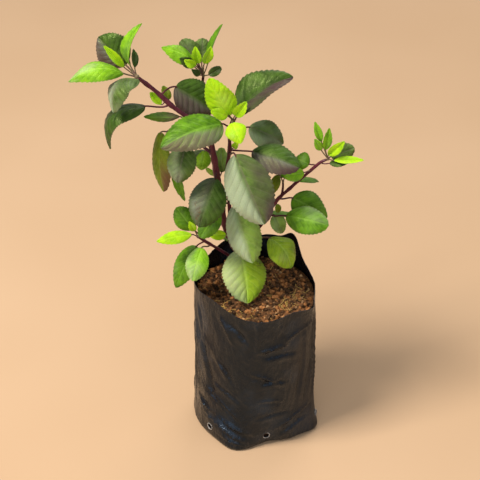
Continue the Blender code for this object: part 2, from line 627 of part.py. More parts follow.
def make_leaf(leaf, group, finish, start, out):
    """A petiole and a toothed blade in one thin solid."""
    rows = blade_rows(leaf)
    ribs = leaf_midrib(leaf, start, out, rows)
    strips = 4 if leaf.width >= WIDE_LEAF else 2
    bpy.ops.mesh.primitive_grid_add(x_subdivisions=strips, y_subdivisions=len(ribs) - 1, size=2.0)
    blade = take_primitive(leaf.name, group, finish)
    weights = blade.vertex_groups.new(name="thickness")
    fold = math.radians(leaf.fold)
    for vertex in blade.data.vertices:
        row = round((vertex.co.y + 1.0) * 0.5 * (len(ribs) - 1))
        across = round(vertex.co.x * strips) / strips
        point, direction, normal, share = ribs[row]
        side = direction.cross(normal)
        if share < 0.0:
            vertex.co = (point + side * across * PETIOLE_HALF) * MM
            weights.add([vertex.index], 1.0, "REPLACE")
            continue
        half = leaf_half_width(leaf, share)
        tooth = round(share * rows) % 2
        lean = 0.0
        if abs(across) == 1.0 and 0.0 < share < 1.0:
            half *= 1.0 + TOOTH_DEPTH * (1.0 if tooth else -1.0)
            lean = TOOTH_LEAN * leaf.width / rows * tooth
        reach = abs(across) * half
        lift = reach * math.sin(fold)
        lift += QUILT * half * (1.0 - (2.0 * abs(across) - 1.0) ** 2)
        lift += WAVE * half * abs(across) * math.sin(WAVE_RUN * share + WAVE_TURN * across)
        offset = side * math.copysign(reach * math.cos(fold), across) + normal * lift
        vertex.co = (point + offset + direction * lean) * MM
        weights.add([vertex.index], BLADE_THICK / PETIOLE_THICK, "REPLACE")
    split_quads(blade.data)
    skin = blade.modifiers.new("blade_thickness", "SOLIDIFY")
    skin.thickness = PETIOLE_THICK * MM
    skin.offset = 0.0
    skin.vertex_group = "thickness"
    return blade


def split_quads(mesh):
    """Split every quad into triangles, so that both faces of the blade match."""
    work = bmesh.new()
    work.from_mesh(mesh)
    bmesh.ops.triangulate(work, faces=work.faces)
    work.to_mesh(mesh)
    work.free()


def make_shoot_tip(name, leaves, group, finishes):
    """Young leaves around the bud at a stem's end, grown as one piece."""
    stem = STEMS[leaves[0].stem]
    path = stem_path(leaves[0].stem)
    onward = (path[-1] - path[-2]).normalized()
    radius = stem.tip_radius * BUD_SIZE
    centre = path[-1] + onward * (radius + SEAT)
    bpy.ops.mesh.primitive_ico_sphere_add(subdivisions=1, radius=radius * MM, location=centre * MM)
    bud = take_primitive(name, group, finishes[leaves[0].tone])
    bud.data.transform(bud.matrix_world)
    bud.matrix_world.identity()
    blades = []
    for leaf in leaves:
        out = (Vector(leaf.base) - centre).normalized()
        start = centre + out * radius * BUD_CORE
        blade = make_leaf(leaf, group, finishes[leaf.tone], start, out)
        apply_modifiers(blade)
        blades.append(blade)
    fuse(bud, blades, "MANIFOLD")


def build_plant():
    clear_scene()
    group = make_collection("holy_basil_plant")
    cutters = make_collection("cutters")
    finishes = {name: make_finish(name) for name in FINISHES}
    tones = {name[5:]: finish for name, finish in finishes.items() if name.startswith("leaf_")}
    make_bag(group, cutters, finishes["bag_film"])
    make_soil(group, cutters, finishes["compost"])
    make_stems(group, finishes["stem_purple"])
    for name, leaves in SHOOT_TIPS.items():
        make_shoot_tip(name, leaves, group, tones)
    for leaf in LEAVES:
        start, out = petiole_start(leaf)
        make_leaf(leaf, group, tones[leaf.tone], start, out)
    bpy.context.view_layer.update()


build_plant()
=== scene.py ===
"""Looks of the holy basil plant in its black film nursery bag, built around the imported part.

Places and sizes are in millimetres, as in the part's source, and MM turns them into metres.
"""
import json
import math
import random
from collections import namedtuple
from functools import lru_cache

import bmesh
import bpy
from mathutils import Matrix, Vector, noise

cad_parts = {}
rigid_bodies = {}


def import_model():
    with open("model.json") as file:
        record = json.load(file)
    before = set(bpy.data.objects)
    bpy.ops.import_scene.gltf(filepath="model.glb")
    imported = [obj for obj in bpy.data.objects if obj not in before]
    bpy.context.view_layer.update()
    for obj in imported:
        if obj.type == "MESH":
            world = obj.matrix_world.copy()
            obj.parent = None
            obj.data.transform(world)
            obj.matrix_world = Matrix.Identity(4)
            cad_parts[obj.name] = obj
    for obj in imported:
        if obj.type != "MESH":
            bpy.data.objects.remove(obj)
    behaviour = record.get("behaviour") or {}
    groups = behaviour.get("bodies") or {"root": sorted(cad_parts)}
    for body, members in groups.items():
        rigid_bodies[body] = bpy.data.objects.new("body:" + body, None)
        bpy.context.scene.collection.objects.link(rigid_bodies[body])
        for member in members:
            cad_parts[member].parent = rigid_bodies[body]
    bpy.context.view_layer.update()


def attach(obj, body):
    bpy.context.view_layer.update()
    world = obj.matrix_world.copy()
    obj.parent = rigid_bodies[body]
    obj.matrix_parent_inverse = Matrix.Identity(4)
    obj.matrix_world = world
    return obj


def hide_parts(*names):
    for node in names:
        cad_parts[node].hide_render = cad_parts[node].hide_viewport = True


MM = 0.001
BODY = "root"

# Camera at the photo's angle, solved from the rim and the foot of the bag
CAMERA_PLACE = (-0.0115, -1.034, 0.920)
CAMERA_TURN = 54.0
CAMERA_LENS = 128.1
SENSOR = 36.0

Stem = namedtuple("Stem", "points foot_radius tip_radius")
Leaf = namedtuple("Leaf", "name stem foot base tip width face arch fold form tone")
Wash = namedtuple("Wash", "level across along")
Spot = namedtuple("Spot", "across along size")
Tone = namedtuple("Tone", "upper shade purple bloom vein under roughness glow")
Crease = namedtuple("Crease", "bearing height to_bearing to_height width rise")
Light = namedtuple("Light", "place size power colour")

# Nursery bag, a 15 by 20 cm film tube filled to about 94 mm across
BAG_RADIUS = 46.6
BAG_HEIGHT = 131.0
BAG_FILM = 0.35
BAG_BOTTOM_ROUND = 4.0
BAG_SIDES = 280
BAG_RINGS = 110
BAG_WRINKLE = 0.7
BAG_WRINKLE_TURNS = 2.4
BAG_WRINKLE_HEIGHT = 21.0
BAG_FLARE = 1.2
DRAIN_HOLE_RADIUS = 2.5
DRAIN_LIP = 0.42
DRAIN_LIP_OUT = 0.15
DRAIN_LIP_WOBBLE = 0.07
DRAIN_LIP_CELLS = 0.8
DRAIN_LIP_SPIN = 1.1
DRAIN_HOLE_HEIGHT = 10.5
DRAIN_HOLE_COUNT = 6
DRAIN_HOLE_FIRST = -138.0

# Each bulge of the film is its bearing and half width in degrees, and its size
FOOT_BULGES = ((-110.0, 15.0, 5.0), (-74.0, 20.0, -6.5), (-24.0, 13.0, 7.0), (165.0, 30.0, 1.5))
RIM_BULGES = ((-138.0, 26.0, -3.0), (-84.0, 22.0, 3.0), (-38.0, 14.0, 6.5), (10.0, 25.0, -1.0),
              (100.0, 30.0, 1.5))
RIM_PEAKS = ((-140.0, 26.0, 3.5), (-84.0, 26.0, -2.5), (-25.0, 14.0, -5.0), (12.0, 22.0, -6.5),
             (36.0, 7.0, -3.0), (50.0, 13.0, 17.0), (74.0, 16.0, 9.0), (112.0, 24.0, 8.0))
FOOT_REACH = 24.0
RIM_REACH = 26.0

# Shape of a crease: share of its length that it fades over past its ends, bow, reach in widths,
# and the width, place and depth of its ridge and of the furrow beside it
CREASE_GAIN = 1.9
CREASE_PAST = 0.2
CREASE_FADE = 0.45
CREASE_BOW = 0.06
CREASE_REACH = 4.0
RIDGE_WIDTH = 0.55
FURROW_PLACE = 1.2
FURROW_DEPTH = 0.45
LIFT_FROM_GROUND = 5.0

# Small crumples of the film: noise cells round the bag and up it, ridges and their grain
CRUMPLE_TURNS = 3.0
CRUMPLE_HEIGHT = 34.0
CRUMPLE_CELLS = 2.3
CRUMPLE_SHARP = 2.2
CRUMPLE_RIDGE = 0.3
CRUMPLE_BASE = 0.2
CRUMPLE_GRAIN_CELLS = 7.0
CRUMPLE_GRAIN = 0.12

# Creases of the film: bearing and height of both ends, width and rise; a dent has a rise below 0
CREASES = (
    Crease(-150, 100, -118, 70, 3.4, 1.1),
    Crease(-141, 92, -112, 66, 2.6, -0.8),
    Crease(-158, 96, -132, 40, 3.6, -0.9),
    Crease(-146, 52, -108, 32, 2.0, 1.2),
    Crease(-152, 50, -128, 38, 1.6, 0.9),
    Crease(-134, 60, -104, 47, 2.2, -0.6),
    Crease(-150, 30, -96, 16, 2.6, 1.3),
    Crease(-146, 22, -100, 9, 2.0, 1.1),
    Crease(-158, 34, -118, 20, 2.4, -0.9),
    Crease(-128, 9, -98, 5, 1.4, 0.7),
    Crease(-90, 128, -91, 92, 1.8, 0.7),
    Crease(-86, 98, -58, 101, 3.2, 1.2),
    Crease(-62, 104, -30, 114, 3.0, 1.0),
    Crease(-80, 92, -50, 90, 3.0, -0.8),
    Crease(-92, 76, -66, 63, 2.6, 1.1),
    Crease(-84, 66, -60, 64, 2.2, -0.8),
    Crease(-86, 48, -62, 45, 1.8, 0.7),
    Crease(-88, 30, -56, 32, 2.2, -0.6),
    Crease(-66, 18, -30, 30, 3.0, 1.2),
    Crease(-62, 11, -34, 19, 2.2, -0.9),
    Crease(-40, 110, -44, 40, 2.4, 0.8),
    Crease(-30, 118, -38, 34, 2.4, -0.8),
    Crease(-20, 112, -30, 40, 2.0, 0.8),
    Crease(-8, 108, -22, 30, 2.6, 0.9),
    Crease(-170, 118, -160, 40, 2.6, 0.8),
    Crease(-160, 120, -148, 84, 2.2, -0.7),
    Crease(-176, 96, -170, 22, 2.6, -0.7),
    Crease(-126, 124, -112, 104, 4.0, 1.2),
    Crease(-116, 122, -98, 108, 3.0, -0.8),
    Crease(20, 104, 44, 60, 3.0, 1.0),
    Crease(30, 70, 62, 30, 2.6, 0.9),
    Crease(52, 110, 60, 46, 2.6, -0.8),
    Crease(76, 118, 84, 52, 3.0, 0.9),
    Crease(88, 60, 122, 22, 2.6, 1.0),
    Crease(104, 112, 128, 70, 3.0, -0.9),
    Crease(134, 100, 162, 52, 2.8, 1.0),
    Crease(140, 40, 176, 22, 2.4, 0.9),
    Crease(10, 22, 48, 12, 2.2, 0.9),
    Crease(64, 16, 106, 9, 2.2, 0.8),
)

# Compost: its top, the wall that stays clear of the film's dents, and the shares of the mesh for both
SOIL_HEIGHT = 119.0
SOIL_CROWN = 1.5
SOIL_LUMP = 2.2
SOIL_LUMP_SPAN = 11.0
SOIL_CRUMB = 1.5
SOIL_CRUMB_SPAN = 3.1
SOIL_CRUMB_LEVEL = 0.55
SOIL_GRIT = 0.3
SOIL_GRIT_SPAN = 1.3
SOIL_GAP = 0.6
DENT_ASIDE = (-1.0, 1.0)
DENT_UP = (-4.0, -2.0, 0.0, 2.0, 4.0)
# Depth below the top from which the compost's wall is painted near black as painted shade
PAINTED_SHADE_BELOW_TOP = 4.0
SOIL_TOP_SHARE = 0.8
SOIL_WALL_SHARE = 0.93
SOIL_SIDES = 200
SOIL_RINGS = 110
ROOT_END = (-8.0, 18.0, 82.0)

# Loose crumbs: count, smallest and largest size of each kind
CRUMB_SEED = 5
CRUMB_SHAPES = 6
CRUMBS = {"dark": (560, 0.6, 2.4), "rust": (440, 0.5, 2.6), "pale": (190, 0.4, 1.5)}
CRUMB_LUMP = 0.55
CRUMB_LUMP_CELLS = 1.3
CRUMB_GRIT = 0.2
CRUMB_GRIT_CELLS = 3.1
CRUMB_SHIFT = 90.0
CRUMB_TURN = 6.3
CRUMB_BROAD = (0.6, 1.0)
CRUMB_FLAT = (0.55, 0.9)
CRUMB_PROUD = 0.25
CLEAR_OF_WALL = 2.6
CLEAR_OF_STEM = 5.0

# Straw and husk bits, some of them in heaps
STRAW_SEED = 11
STRAW_COUNT = 150
STRAW_IN_HEAPS = 90
STRAW_SPREAD = 5.0
STRAW_HEAPS = ((-17.0, -30.0), (22.0, -14.0), (-30.0, -22.0), (30.0, -6.0))
STRAW_OFF_WALL = 6.0
STRAW_LENGTH = (2.5, 9.0)
STRAW_THICK = (0.16, 0.34)
STRAW_TILT = (-0.12, 0.3)
STRAW_BOW = 0.2
STRAW_POINTS = 6
STRAW_SIDES = 5
STRAW_PROUD = 0.5

# Stems
STEM_STEP = 2.0
STEM_SIDES = 14
STEM_SWELL = 0.28
STEM_SWELL_LENGTH = 2.6
STEM_CORNER = 0.07
BUD_SWELL = 1.25
FIRST_UPRIGHT = (0.31, 0.87, 0.38)

# Petioles and midribs
PETIOLE_RADIUS = 0.62
PETIOLE_LEAST = 0.55
PETIOLE_GROWTH = 50.0
PETIOLE_BEND = 0.35
PETIOLE_ASIDE = 0.4
PETIOLE_SIDES = 8
PETIOLE_STEP = 1.2
PETIOLE_FLARE = 0.35
PETIOLE_FLARE_FADE = 6.0
PETIOLE_SUNK = 0.6
MIDRIB_END = 0.92
MIDRIB_STEPS = 16
MIDRIB_THINS = 0.82
MIDRIB_SUNK = 0.7
MIDRIB_SINKS_BY = 0.08

# Blades: thickness, narrowest half width, teeth, swellings, waves and veins
BLADE_THICK = 0.32
TIP_HALF = 0.25
ROWS_PER_TOOTH = 5
TOOTH_DEPTH = 0.06
TOOTH_LEAN = 0.2
TOOTH_PEAK = 0.66
TOOTH_EDGE = 6
TOOTH_FADE = (0.16, 0.06)
QUILT = 0.07
WAVE = 0.05
WAVE_ALONG = 9.0
WAVE_ACROSS = 2.0
COCKLE = 0.025
COCKLE_CELLS = (2.2, 3.0)
COCKLE_SEED = 0.37
SIDE_VEINS = 7
VEIN_SLOPE = 0.3
VEIN_RELIEF = 0.019
VEIN_SHARP = 0.6
VEINS_RISE_BY = 0.1
VEINS_PAST_EDGE = 1.02
MIDRIB_FURROW = 0.8
MIDRIB_FURROW_WIDTH = 0.07

# Colour washes: how sharply they change at the midrib, their clouds, the spots, and faint ones by tone
MIDRIB_SPLIT = 3.0
WASH_CLOUD = 0.45
WASH_CELLS = (1.6, 2.4)
WASH_SEED = 0.13
PAINTED_SHEEN_APART = 5.0
SPOT_SHORTER = 1.4
FAINT_WASH = {"grey": 0.12, "dark": 0.08, "pale": 0.1}

# Tones of the young leaves, whose stalks are green
YOUNG_TONES = ("lime", "fresh", "yellow")

# Outline of a blade: where it is widest, and how blunt it is
FORMS = {"oval": (0.92, 0.5), "egg": (0.74, 0.62), "lance": (0.86, 0.78)}

# Teeth on each margin and strips of faces across the blade, by its width
TOOTH_COUNTS = ((25.0, 15), (17.0, 12), (11.0, 9), (0.0, 6))
STRIP_COUNTS = ((25.0, 24), (17.0, 18), (11.0, 14), (0.0, 10))

STEMS = {
    "main": Stem(((-8, 18, 124), (-10, 17, 138), (-16, 14, 153), (-22, 10, 172), (-25, 6, 193),
                  (-29, 0, 232), (-33, -3, 261), (-40, -4, 271), (-51, -4, 281), (-60, -4, 289),
                  (-70, -4, 300), (-82, -4, 311)), 2.7, 1.45),
    "centre": Stem(((-18, 12, 162), (-19, 8, 186), (-20, 6, 210), (-21, 4, 229), (-19, 2, 248),
                    (-19, 0, 262), (-17, 0, 273)), 1.6, 1.15),
    "top": Stem(((-32, -2, 250), (-37, 10, 262), (-39, 20, 274), (-39, 26, 284),
                 (-38, 28, 293)), 1.4, 1.0),
    "right": Stem(((-13, 15, 144), (-4, 9, 162), (4, 6, 179), (15, 4, 201), (25, 2, 214),
                   (35, 0, 226), (46, -2, 239), (51, -2, 242)), 1.6, 0.9),
    "right_side": Stem(((19, 3, 206), (20, 4, 213), (20, 4, 218)), 0.9, 0.75),
    "low_left": Stem(((-11, 16, 134), (-19, 9, 147), (-27, 4, 157), (-34, 0, 165),
                      (-42, -4, 174)), 1.3, 0.9),
    "mid_left": Stem(((-31, -2, 247), (-41, 0, 254), (-52, -1, 261), (-62, -3, 266)), 1.15, 0.9),
}

# Young leaves round the bud at the end of each shoot
SHOOT_TIPS = {
    "shoot_tip_left": (
        Leaf("L1", "main", None, (-92, -6, 316), (-130, -14, 314), 19,
             (0.1, -0.4, 0.9), 11, -22, "lance", "fresh"),
        Leaf("L2", "main", None, (-91, 2, 318), (-110, 12, 335), 30,
             (-0.3, -0.9, 0.2), 3, -16, "oval", "dark"),
        Leaf("L3", "main", None, (-92, -4, 320), (-105, -6, 338), 7,
             (0.3, -0.9, 0.3), 1, 30, "lance", "lime"),
        Leaf("L4", "main", None, (-88, 0, 319), (-79, 4, 350), 11,
             (-0.7, -0.6, 0.3), 7, 25, "lance", "fresh"),
        Leaf("L5", "main", None, (-85, 2, 316), (-86, 9, 327), 6,
             (0.6, -0.8, 0.1), 1, 10, "lance", "dark"),
    ),
    "shoot_tip_top": (
        Leaf("T1", "top", None, (-43, 26, 306), (-67, 22, 321), 15,
             (0.2, -0.6, 0.8), 4, -22, "lance", "fresh"),
        Leaf("T2a", "top", None, (-42, 28, 306), (-53, 33, 321), 16,
             (-0.2, -0.9, 0.4), 1, -15, "oval", "grey"),
        Leaf("T2b", "top", None, (-39, 29, 305), (-38, 35, 321), 15,
             (0.1, -0.9, 0.4), 1, -10, "oval", "grey"),
        Leaf("T3a", "top", None, (-41, 25, 306), (-43, 23, 321), 8,
             (-0.2, -0.9, 0.2), 1, 20, "lance", "lime"),
        Leaf("T3b", "top", None, (-37, 25, 306), (-32, 23, 321), 8,
             (0.3, -0.9, 0.2), 1, 20, "lance", "lime"),
        Leaf("T3c", "top", None, (-43, 22, 306), (-51, 18, 313), 7,
             (-0.1, -0.9, 0.4), 1, 20, "lance", "lime"),
        Leaf("T4", "top", None, (-35, 28, 303), (-24, 32, 334), 8,
             (-0.9, -0.4, 0.3), 2, 20, "lance", "green"),
        Leaf("T5", "top", None, (-45, 24, 305), (-54, 17, 315), 8,
             (0.2, -0.9, 0.4), 1, 10, "lance", "dark"),
        Leaf("T6", "top", None, (-40, 26, 296), (-46, 22, 303), 5,
             (0.1, -0.9, 0.4), 1, 10, "lance", "dark"),
        Leaf("T7", "top", None, (-34, 28, 295), (-25, 30, 300), 7,
             (0.1, -0.9, 0.4), 1, 10, "oval", "grey"),
    ),
    "shoot_tip_centre": (
        Leaf("C1", "centre", None, (-19, -2, 279), (-33, -4, 311), 22,
             (-0.2, -0.9, 0.4), 3, -14, "egg", "lime"),
        Leaf("C2", "centre", None, (-15, -5, 281), (-7, -9, 295), 9,
             (0.1, -0.9, 0.4), 1, 20, "egg", "lime"),
        Leaf("C3", "centre", None, (-20, -4, 280), (-32, -10, 288), 9,
             (0, -0.8, 0.6), 1, -10, "egg", "lime"),
        Leaf("C4", "centre", None, (-17, -6, 276), (-11, -18, 266), 16,
             (0, -0.8, 0.6), 3, -14, "egg", "lime"),
    ),
    "shoot_tip_right": (
        Leaf("R1", "right", None, (47, -2, 250), (42, -4, 261), 6,
             (0, -0.9, 0.4), 1, 10, "lance", "fresh"),
        Leaf("R2", "right", None, (47, 0, 256), (42, 3, 271), 6,
             (0, -0.9, 0.4), 1, 15, "lance", "fresh"),
        Leaf("R3", "right", None, (50, -3, 251), (52, -4, 270), 7,
             (0.1, -0.9, 0.3), 1, 20, "lance", "fresh"),
        Leaf("R4", "right", None, (52, -4, 247), (63, -9, 262), 8,
             (0, -0.9, 0.4), 1, 20, "lance", "lime"),
        Leaf("R5", "right", None, (54, -1, 244), (71, 1, 250), 14,
             (0, -0.9, 0.4), 1, -10, "oval", "grey"),
        Leaf("R6", "right", None, (56, -6, 244), (77, -12, 248), 6,
             (0, -0.7, 0.7), 1, 20, "lance", "lime"),
    ),
    "shoot_tip_low_left": (
        Leaf("S1", "low_left", None, (-47, -7, 179), (-73, -16, 179), 11,
             (0, -0.6, 0.8), 2, -14, "lance", "lime"),
        Leaf("S2", "low_left", None, (-45, -4, 180), (-49, -6, 190), 6,
             (0, -0.9, 0.4), 1, 15, "lance", "lime"),
    ),
    "shoot_tip_mid_left": (
        Leaf("M1", "mid_left", None, (-68, -3, 266), (-67, -8, 218), 17,
             (-0.5, -0.8, 0.3), 4, -20, "oval", "olive"),
    ),
    "shoot_tip_right_side": (
        Leaf("R10", "right_side", None, (21, 6, 221), (18, 11, 225), 9,
             (0, -0.8, 0.6), 1, -10, "egg", "green"),
        Leaf("R11", "right_side", None, (16, 2, 226), (13, -1, 212), 8,
             (-0.3, -0.9, 0.2), 2, -20, "egg", "olive"),
    ),
}

# Grown leaves: foot on the stem, base and tip of the blade, width, side that faces out, arch,
# fold in degrees, form and tone
LEAVES = (
    Leaf("leaf_left_droop", "main", (-77, -4, 306), (-82, -8, 313), (-99, -25, 296), 28,
         (-0.6, -0.2, 0.75), 12, -20, "oval", "grey"),
    Leaf("leaf_left_arched", "main", (-61, -4, 290), (-78, -5, 289), (-104, -11, 257), 27,
         (-0.6, -0.1, 0.8), 17, -20, "egg", "dark"),
    Leaf("leaf_left_behind", "main", (-67, -4, 297), (-57, 5, 299), (-30, 10, 275), 29,
         (0.1, -0.8, 0.6), 3, -16, "oval", "dark"),
    Leaf("bud_left_upper", "main", (-61, -4, 291), (-62, 2, 290), (-66, 6, 299), 7,
         (0.2, -0.9, 0.4), 1, 20, "egg", "olive"),
    Leaf("bud_left_lower", "main", (-63, -4, 293), (-67, -3, 289), (-75, 2, 296), 7,
         (0.2, -0.8, 0.5), 1, 20, "lance", "lime"),
    Leaf("leaf_left_edge_on", "main", (-47, -4, 277), (-54, -3, 279), (-80, 0, 277), 8,
         (0.1, -0.9, 0.3), 2, -20, "lance", "green"),
    Leaf("leaf_centre_right", "centre", (-17, 0, 271), (-13, 4, 277), (26, 13, 302), 32,
         (-0.1, -0.2, 0.95), 7, 18, "egg", "dark"),
    Leaf("leaf_centre_left", "centre", (-18, 0, 269), (-24, -6, 275), (-67, -27, 268), 30,
         (-0.1, -0.5, 0.85), 6, -8, "egg", "green"),
    Leaf("leaf_right_upper", "centre", (-18, 1, 261), (-5, 15, 259), (20, 13, 246), 22,
         (0.1, -0.7, 0.7), 5, -14, "oval", "grey"),
    Leaf("leaf_right_middle", "centre", (-19, 2, 248), (-3, -2, 249), (31, -16, 244), 24,
         (0.1, -0.6, 0.8), 4, -14, "oval", "dark"),
    Leaf("leaf_front_large", "centre", (-19, 2, 246), (-15, -14, 254), (6, -39, 211), 36,
         (-0.1, -0.8, 0.6), 5, -18, "oval", "grey"),
    Leaf("leaf_front_left", "main", (-29, 0, 232), (-29, -8, 230), (-41, -27, 200), 28,
         (-0.1, -0.9, 0.4), 4, -14, "oval", "dark"),
    Leaf("leaf_front_lower", "main", (-24, 6, 200), (-15, -2, 202), (-2, -22, 164), 27,
         (-0.2, -0.8, 0.5), 4, -18, "oval", "pale"),
    Leaf("leaf_front_low_broad", "main", (-16, 14, 153), (-12, 5, 156), (-6, -23, 127), 35,
         (0.3, -0.7, 0.65), 6, -10, "oval", "yellow"),
    Leaf("leaf_right_over_soil", "right", (-2, 8, 167), (11, 4, 168), (27, -8, 149), 26,
         (0.5, -0.5, 0.7), 6, -12, "oval", "yellow"),
    Leaf("leaf_right_low_pale", "right", (5, 6, 182), (14, 4, 189), (20, 0, 175), 12,
         (0.1, -0.8, 0.5), 2, 10, "egg", "pale"),
    Leaf("bud_right_low", "right", (14, 4, 199), (16, 8, 196), (17, 8, 188), 5,
         (0.3, -0.9, 0.3), 1, 10, "egg", "olive"),
    Leaf("leaf_right_round_back", "right", (18, 4, 204), (27, 3, 205), (53, -2, 191), 24,
         (0.1, -0.7, 0.7), 3, -14, "egg", "green"),
    Leaf("leaf_right_round_front", "right", (9, 5, 191), (22, -10, 198), (53, -21, 197), 22,
         (0.1, -0.7, 0.7), 3, -14, "oval", "green"),
    Leaf("leaf_right_thin", "right", (47, -2, 240), (53, -4, 240), (67, -7, 243), 7,
         (0, -0.7, 0.7), 1, 10, "lance", "dark"),
    Leaf("leaf_right_high", "right", (43, -1, 236), (39, 4, 234), (29, 9, 236), 14,
         (0, -0.8, 0.6), 2, -10, "oval", "green"),
    Leaf("leaf_right_small_round", "right", (40, -1, 232), (35, -4, 232), (20, -7, 231), 11,
         (0, -0.8, 0.6), 2, -10, "oval", "fresh"),
    Leaf("leaf_low_left_back", "low_left", (-37, -1, 168), (-46, 2, 177), (-59, 9, 192), 17,
         (0.1, -0.9, 0.4), 2, -12, "oval", "green"),
    Leaf("leaf_low_left_upper", "main", (-25, 6, 194), (-27, -2, 196), (-41, -14, 181), 16,
         (-0.2, -0.8, 0.5), 2, -16, "oval", "green"),
    Leaf("leaf_low_centre", "main", (-20, 11, 166), (-22, 5, 170), (-35, 0, 173), 8,
         (0, -0.8, 0.5), 1, 15, "lance", "lime"),
    Leaf("leaf_low_left_front", "low_left", (-34, 0, 165), (-40, -7, 167), (-47, -22, 147), 18,
         (-0.1, -0.8, 0.6), 3, -16, "oval", "fresh"),
    Leaf("leaf_low_left_outer", "low_left", (-38, -2, 169), (-44, -1, 164), (-60, -13, 134), 19,
         (-0.3, -0.8, 0.5), 4, -14, "egg", "green"),
    Leaf("leaf_mid_left_front", "mid_left", (-48, -1, 259), (-50, -9, 260), (-56, -23, 236), 22,
         (-0.1, -0.9, 0.4), 4, -16, "oval", "grey"),
    Leaf("leaf_mid_left_narrow", "mid_left", (-57, -2, 263), (-60, 1, 242), (-52, -4, 207), 8,
         (-0.3, -0.9, 0.2), 3, 10, "lance", "green"),
    Leaf("leaf_mid_left_bright", "main", (-31, -1, 243), (-37, 5, 245), (-40, 7, 227), 12,
         (0.1, -0.9, 0.3), 3, -16, "oval", "fresh"),
    Leaf("leaf_mid_behind_lower", "main", (-29, 0, 228), (-31, 4, 228), (-35, 12, 221), 9,
         (0, -0.9, 0.3), 1, -10, "oval", "fresh"),
    Leaf("leaf_mid_between", "main", (-28, 2, 222), (-25, 7, 225), (-25, 14, 242), 10,
         (0, -0.9, 0.4), 1, 10, "oval", "pale"),
    Leaf("bud_centre", "centre", (-19, 2, 250), (-16, -2, 252), (-13, -5, 259), 5,
         (0, -0.8, 0.6), 1, 20, "oval", "lime"),
    Leaf("bud_main", "main", (-27, 3, 212), (-24, -2, 213), (-20, -6, 218), 5,
         (0, -0.8, 0.6), 1, 20, "oval", "lime"),
    Leaf("leaf_back_high", "main", (-31, -1, 240), (-33, 10, 240), (-45, 34, 218), 26,
         (-0.2, 0.7, 0.7), 5, -16, "egg", "grey"),
    Leaf("leaf_back_centre", "centre", (-20, 6, 210), (-12, 14, 214), (4, 40, 198), 27,
         (0.2, 0.7, 0.7), 5, -16, "egg", "dark"),
    Leaf("leaf_back_left", "main", (-23, 8, 178), (-32, 17, 180), (-48, 40, 160), 24,
         (-0.2, 0.7, 0.7), 4, -14, "egg", "green"),
    Leaf("leaf_back_low", "main", (-13, 15, 143), (-14, 26, 148), (-18, 52, 138), 26,
         (0, 0.6, 0.8), 5, -14, "oval", "pale"),
    Leaf("leaf_back_right", "right", (4, 6, 179), (12, 16, 180), (30, 36, 164), 22,
         (0.3, 0.7, 0.7), 4, -14, "oval", "green"),
    Leaf("leaf_back_right_high", "right", (25, 2, 214), (30, 12, 214), (44, 30, 202), 20,
         (0.3, 0.7, 0.7), 3, -14, "oval", "green"),
)

# Purple flush, partly painted shade, and pale painted sheen of single leaves: level, change across and
# change along the blade
PURPLE_AND_SHADE = {
    "leaf_left_droop": Wash(0.1, -0.1, 0.2),
    "leaf_left_arched": Wash(0.1, 0.2, 0.0),
    "leaf_left_behind": Wash(0.2, 0.5, 0.0),
    "leaf_left_edge_on": Wash(0.45, 0.0, -0.8),
    "leaf_centre_right": Wash(0.05, 0.8, 0.15),
    "leaf_centre_left": Wash(0.05, -0.9, 0.55),
    "leaf_right_middle": Wash(0.1, 0.6, 0.1),
    "leaf_front_large": Wash(0.1, -0.45, 0.25),
    "leaf_front_left": Wash(0.15, 0.1, 0.0),
    "leaf_mid_left_front": Wash(0.15, 0.2, 0.2),
    "L2": Wash(0.15, -0.6, 0.0),
    "M1": Wash(0.05, -0.5, 0.3),
}
# Painted sheen: pale reflection of the sky on the parts of a blade that face it
PAINTED_SHEEN = {
    "L1": Wash(0.1, 0.1, 0.3),
    "L2": Wash(0.25, -0.8, 0.1),
    "leaf_left_droop": Wash(0.35, 0.3, 0.3),
    "leaf_left_arched": Wash(0.05, 0.3, 0.0),
    "leaf_left_behind": Wash(0.15, 0.7, 0.0),
    "leaf_centre_left": Wash(0.1, -0.6, 0.4),
    "leaf_right_upper": Wash(0.35, 0.2, 0.0),
    "leaf_right_middle": Wash(0.0, 1.5, 0.0),
    "leaf_front_large": Wash(0.1, 1.1, 0.15),
    "leaf_front_left": Wash(0.2, 0.3, 0.0),
    "leaf_front_lower": Wash(0.35, 0.5, 0.0),
    "leaf_front_low_broad": Wash(0.3, 0.6, -0.1),
    "leaf_mid_left_front": Wash(0.2, 0.2, 0.1),
    "leaf_low_left_front": Wash(0.3, 0.2, 0.3),
    "leaf_right_round_front": Wash(0.1, -0.1, 0.2),
}
SPOTS = {
    "leaf_front_left": (Spot(0.35, 0.72, 0.12), Spot(0.6, 0.6, 0.06), Spot(0.45, 0.86, 0.06)),
    "leaf_front_low_broad": (Spot(-0.75, 0.3, 0.13),),
    "leaf_right_over_soil": (Spot(-0.9, 0.72, 0.2), Spot(0.2, 0.35, 0.03)),
    "S1": (Spot(0.0, 1.0, 0.12),),
}
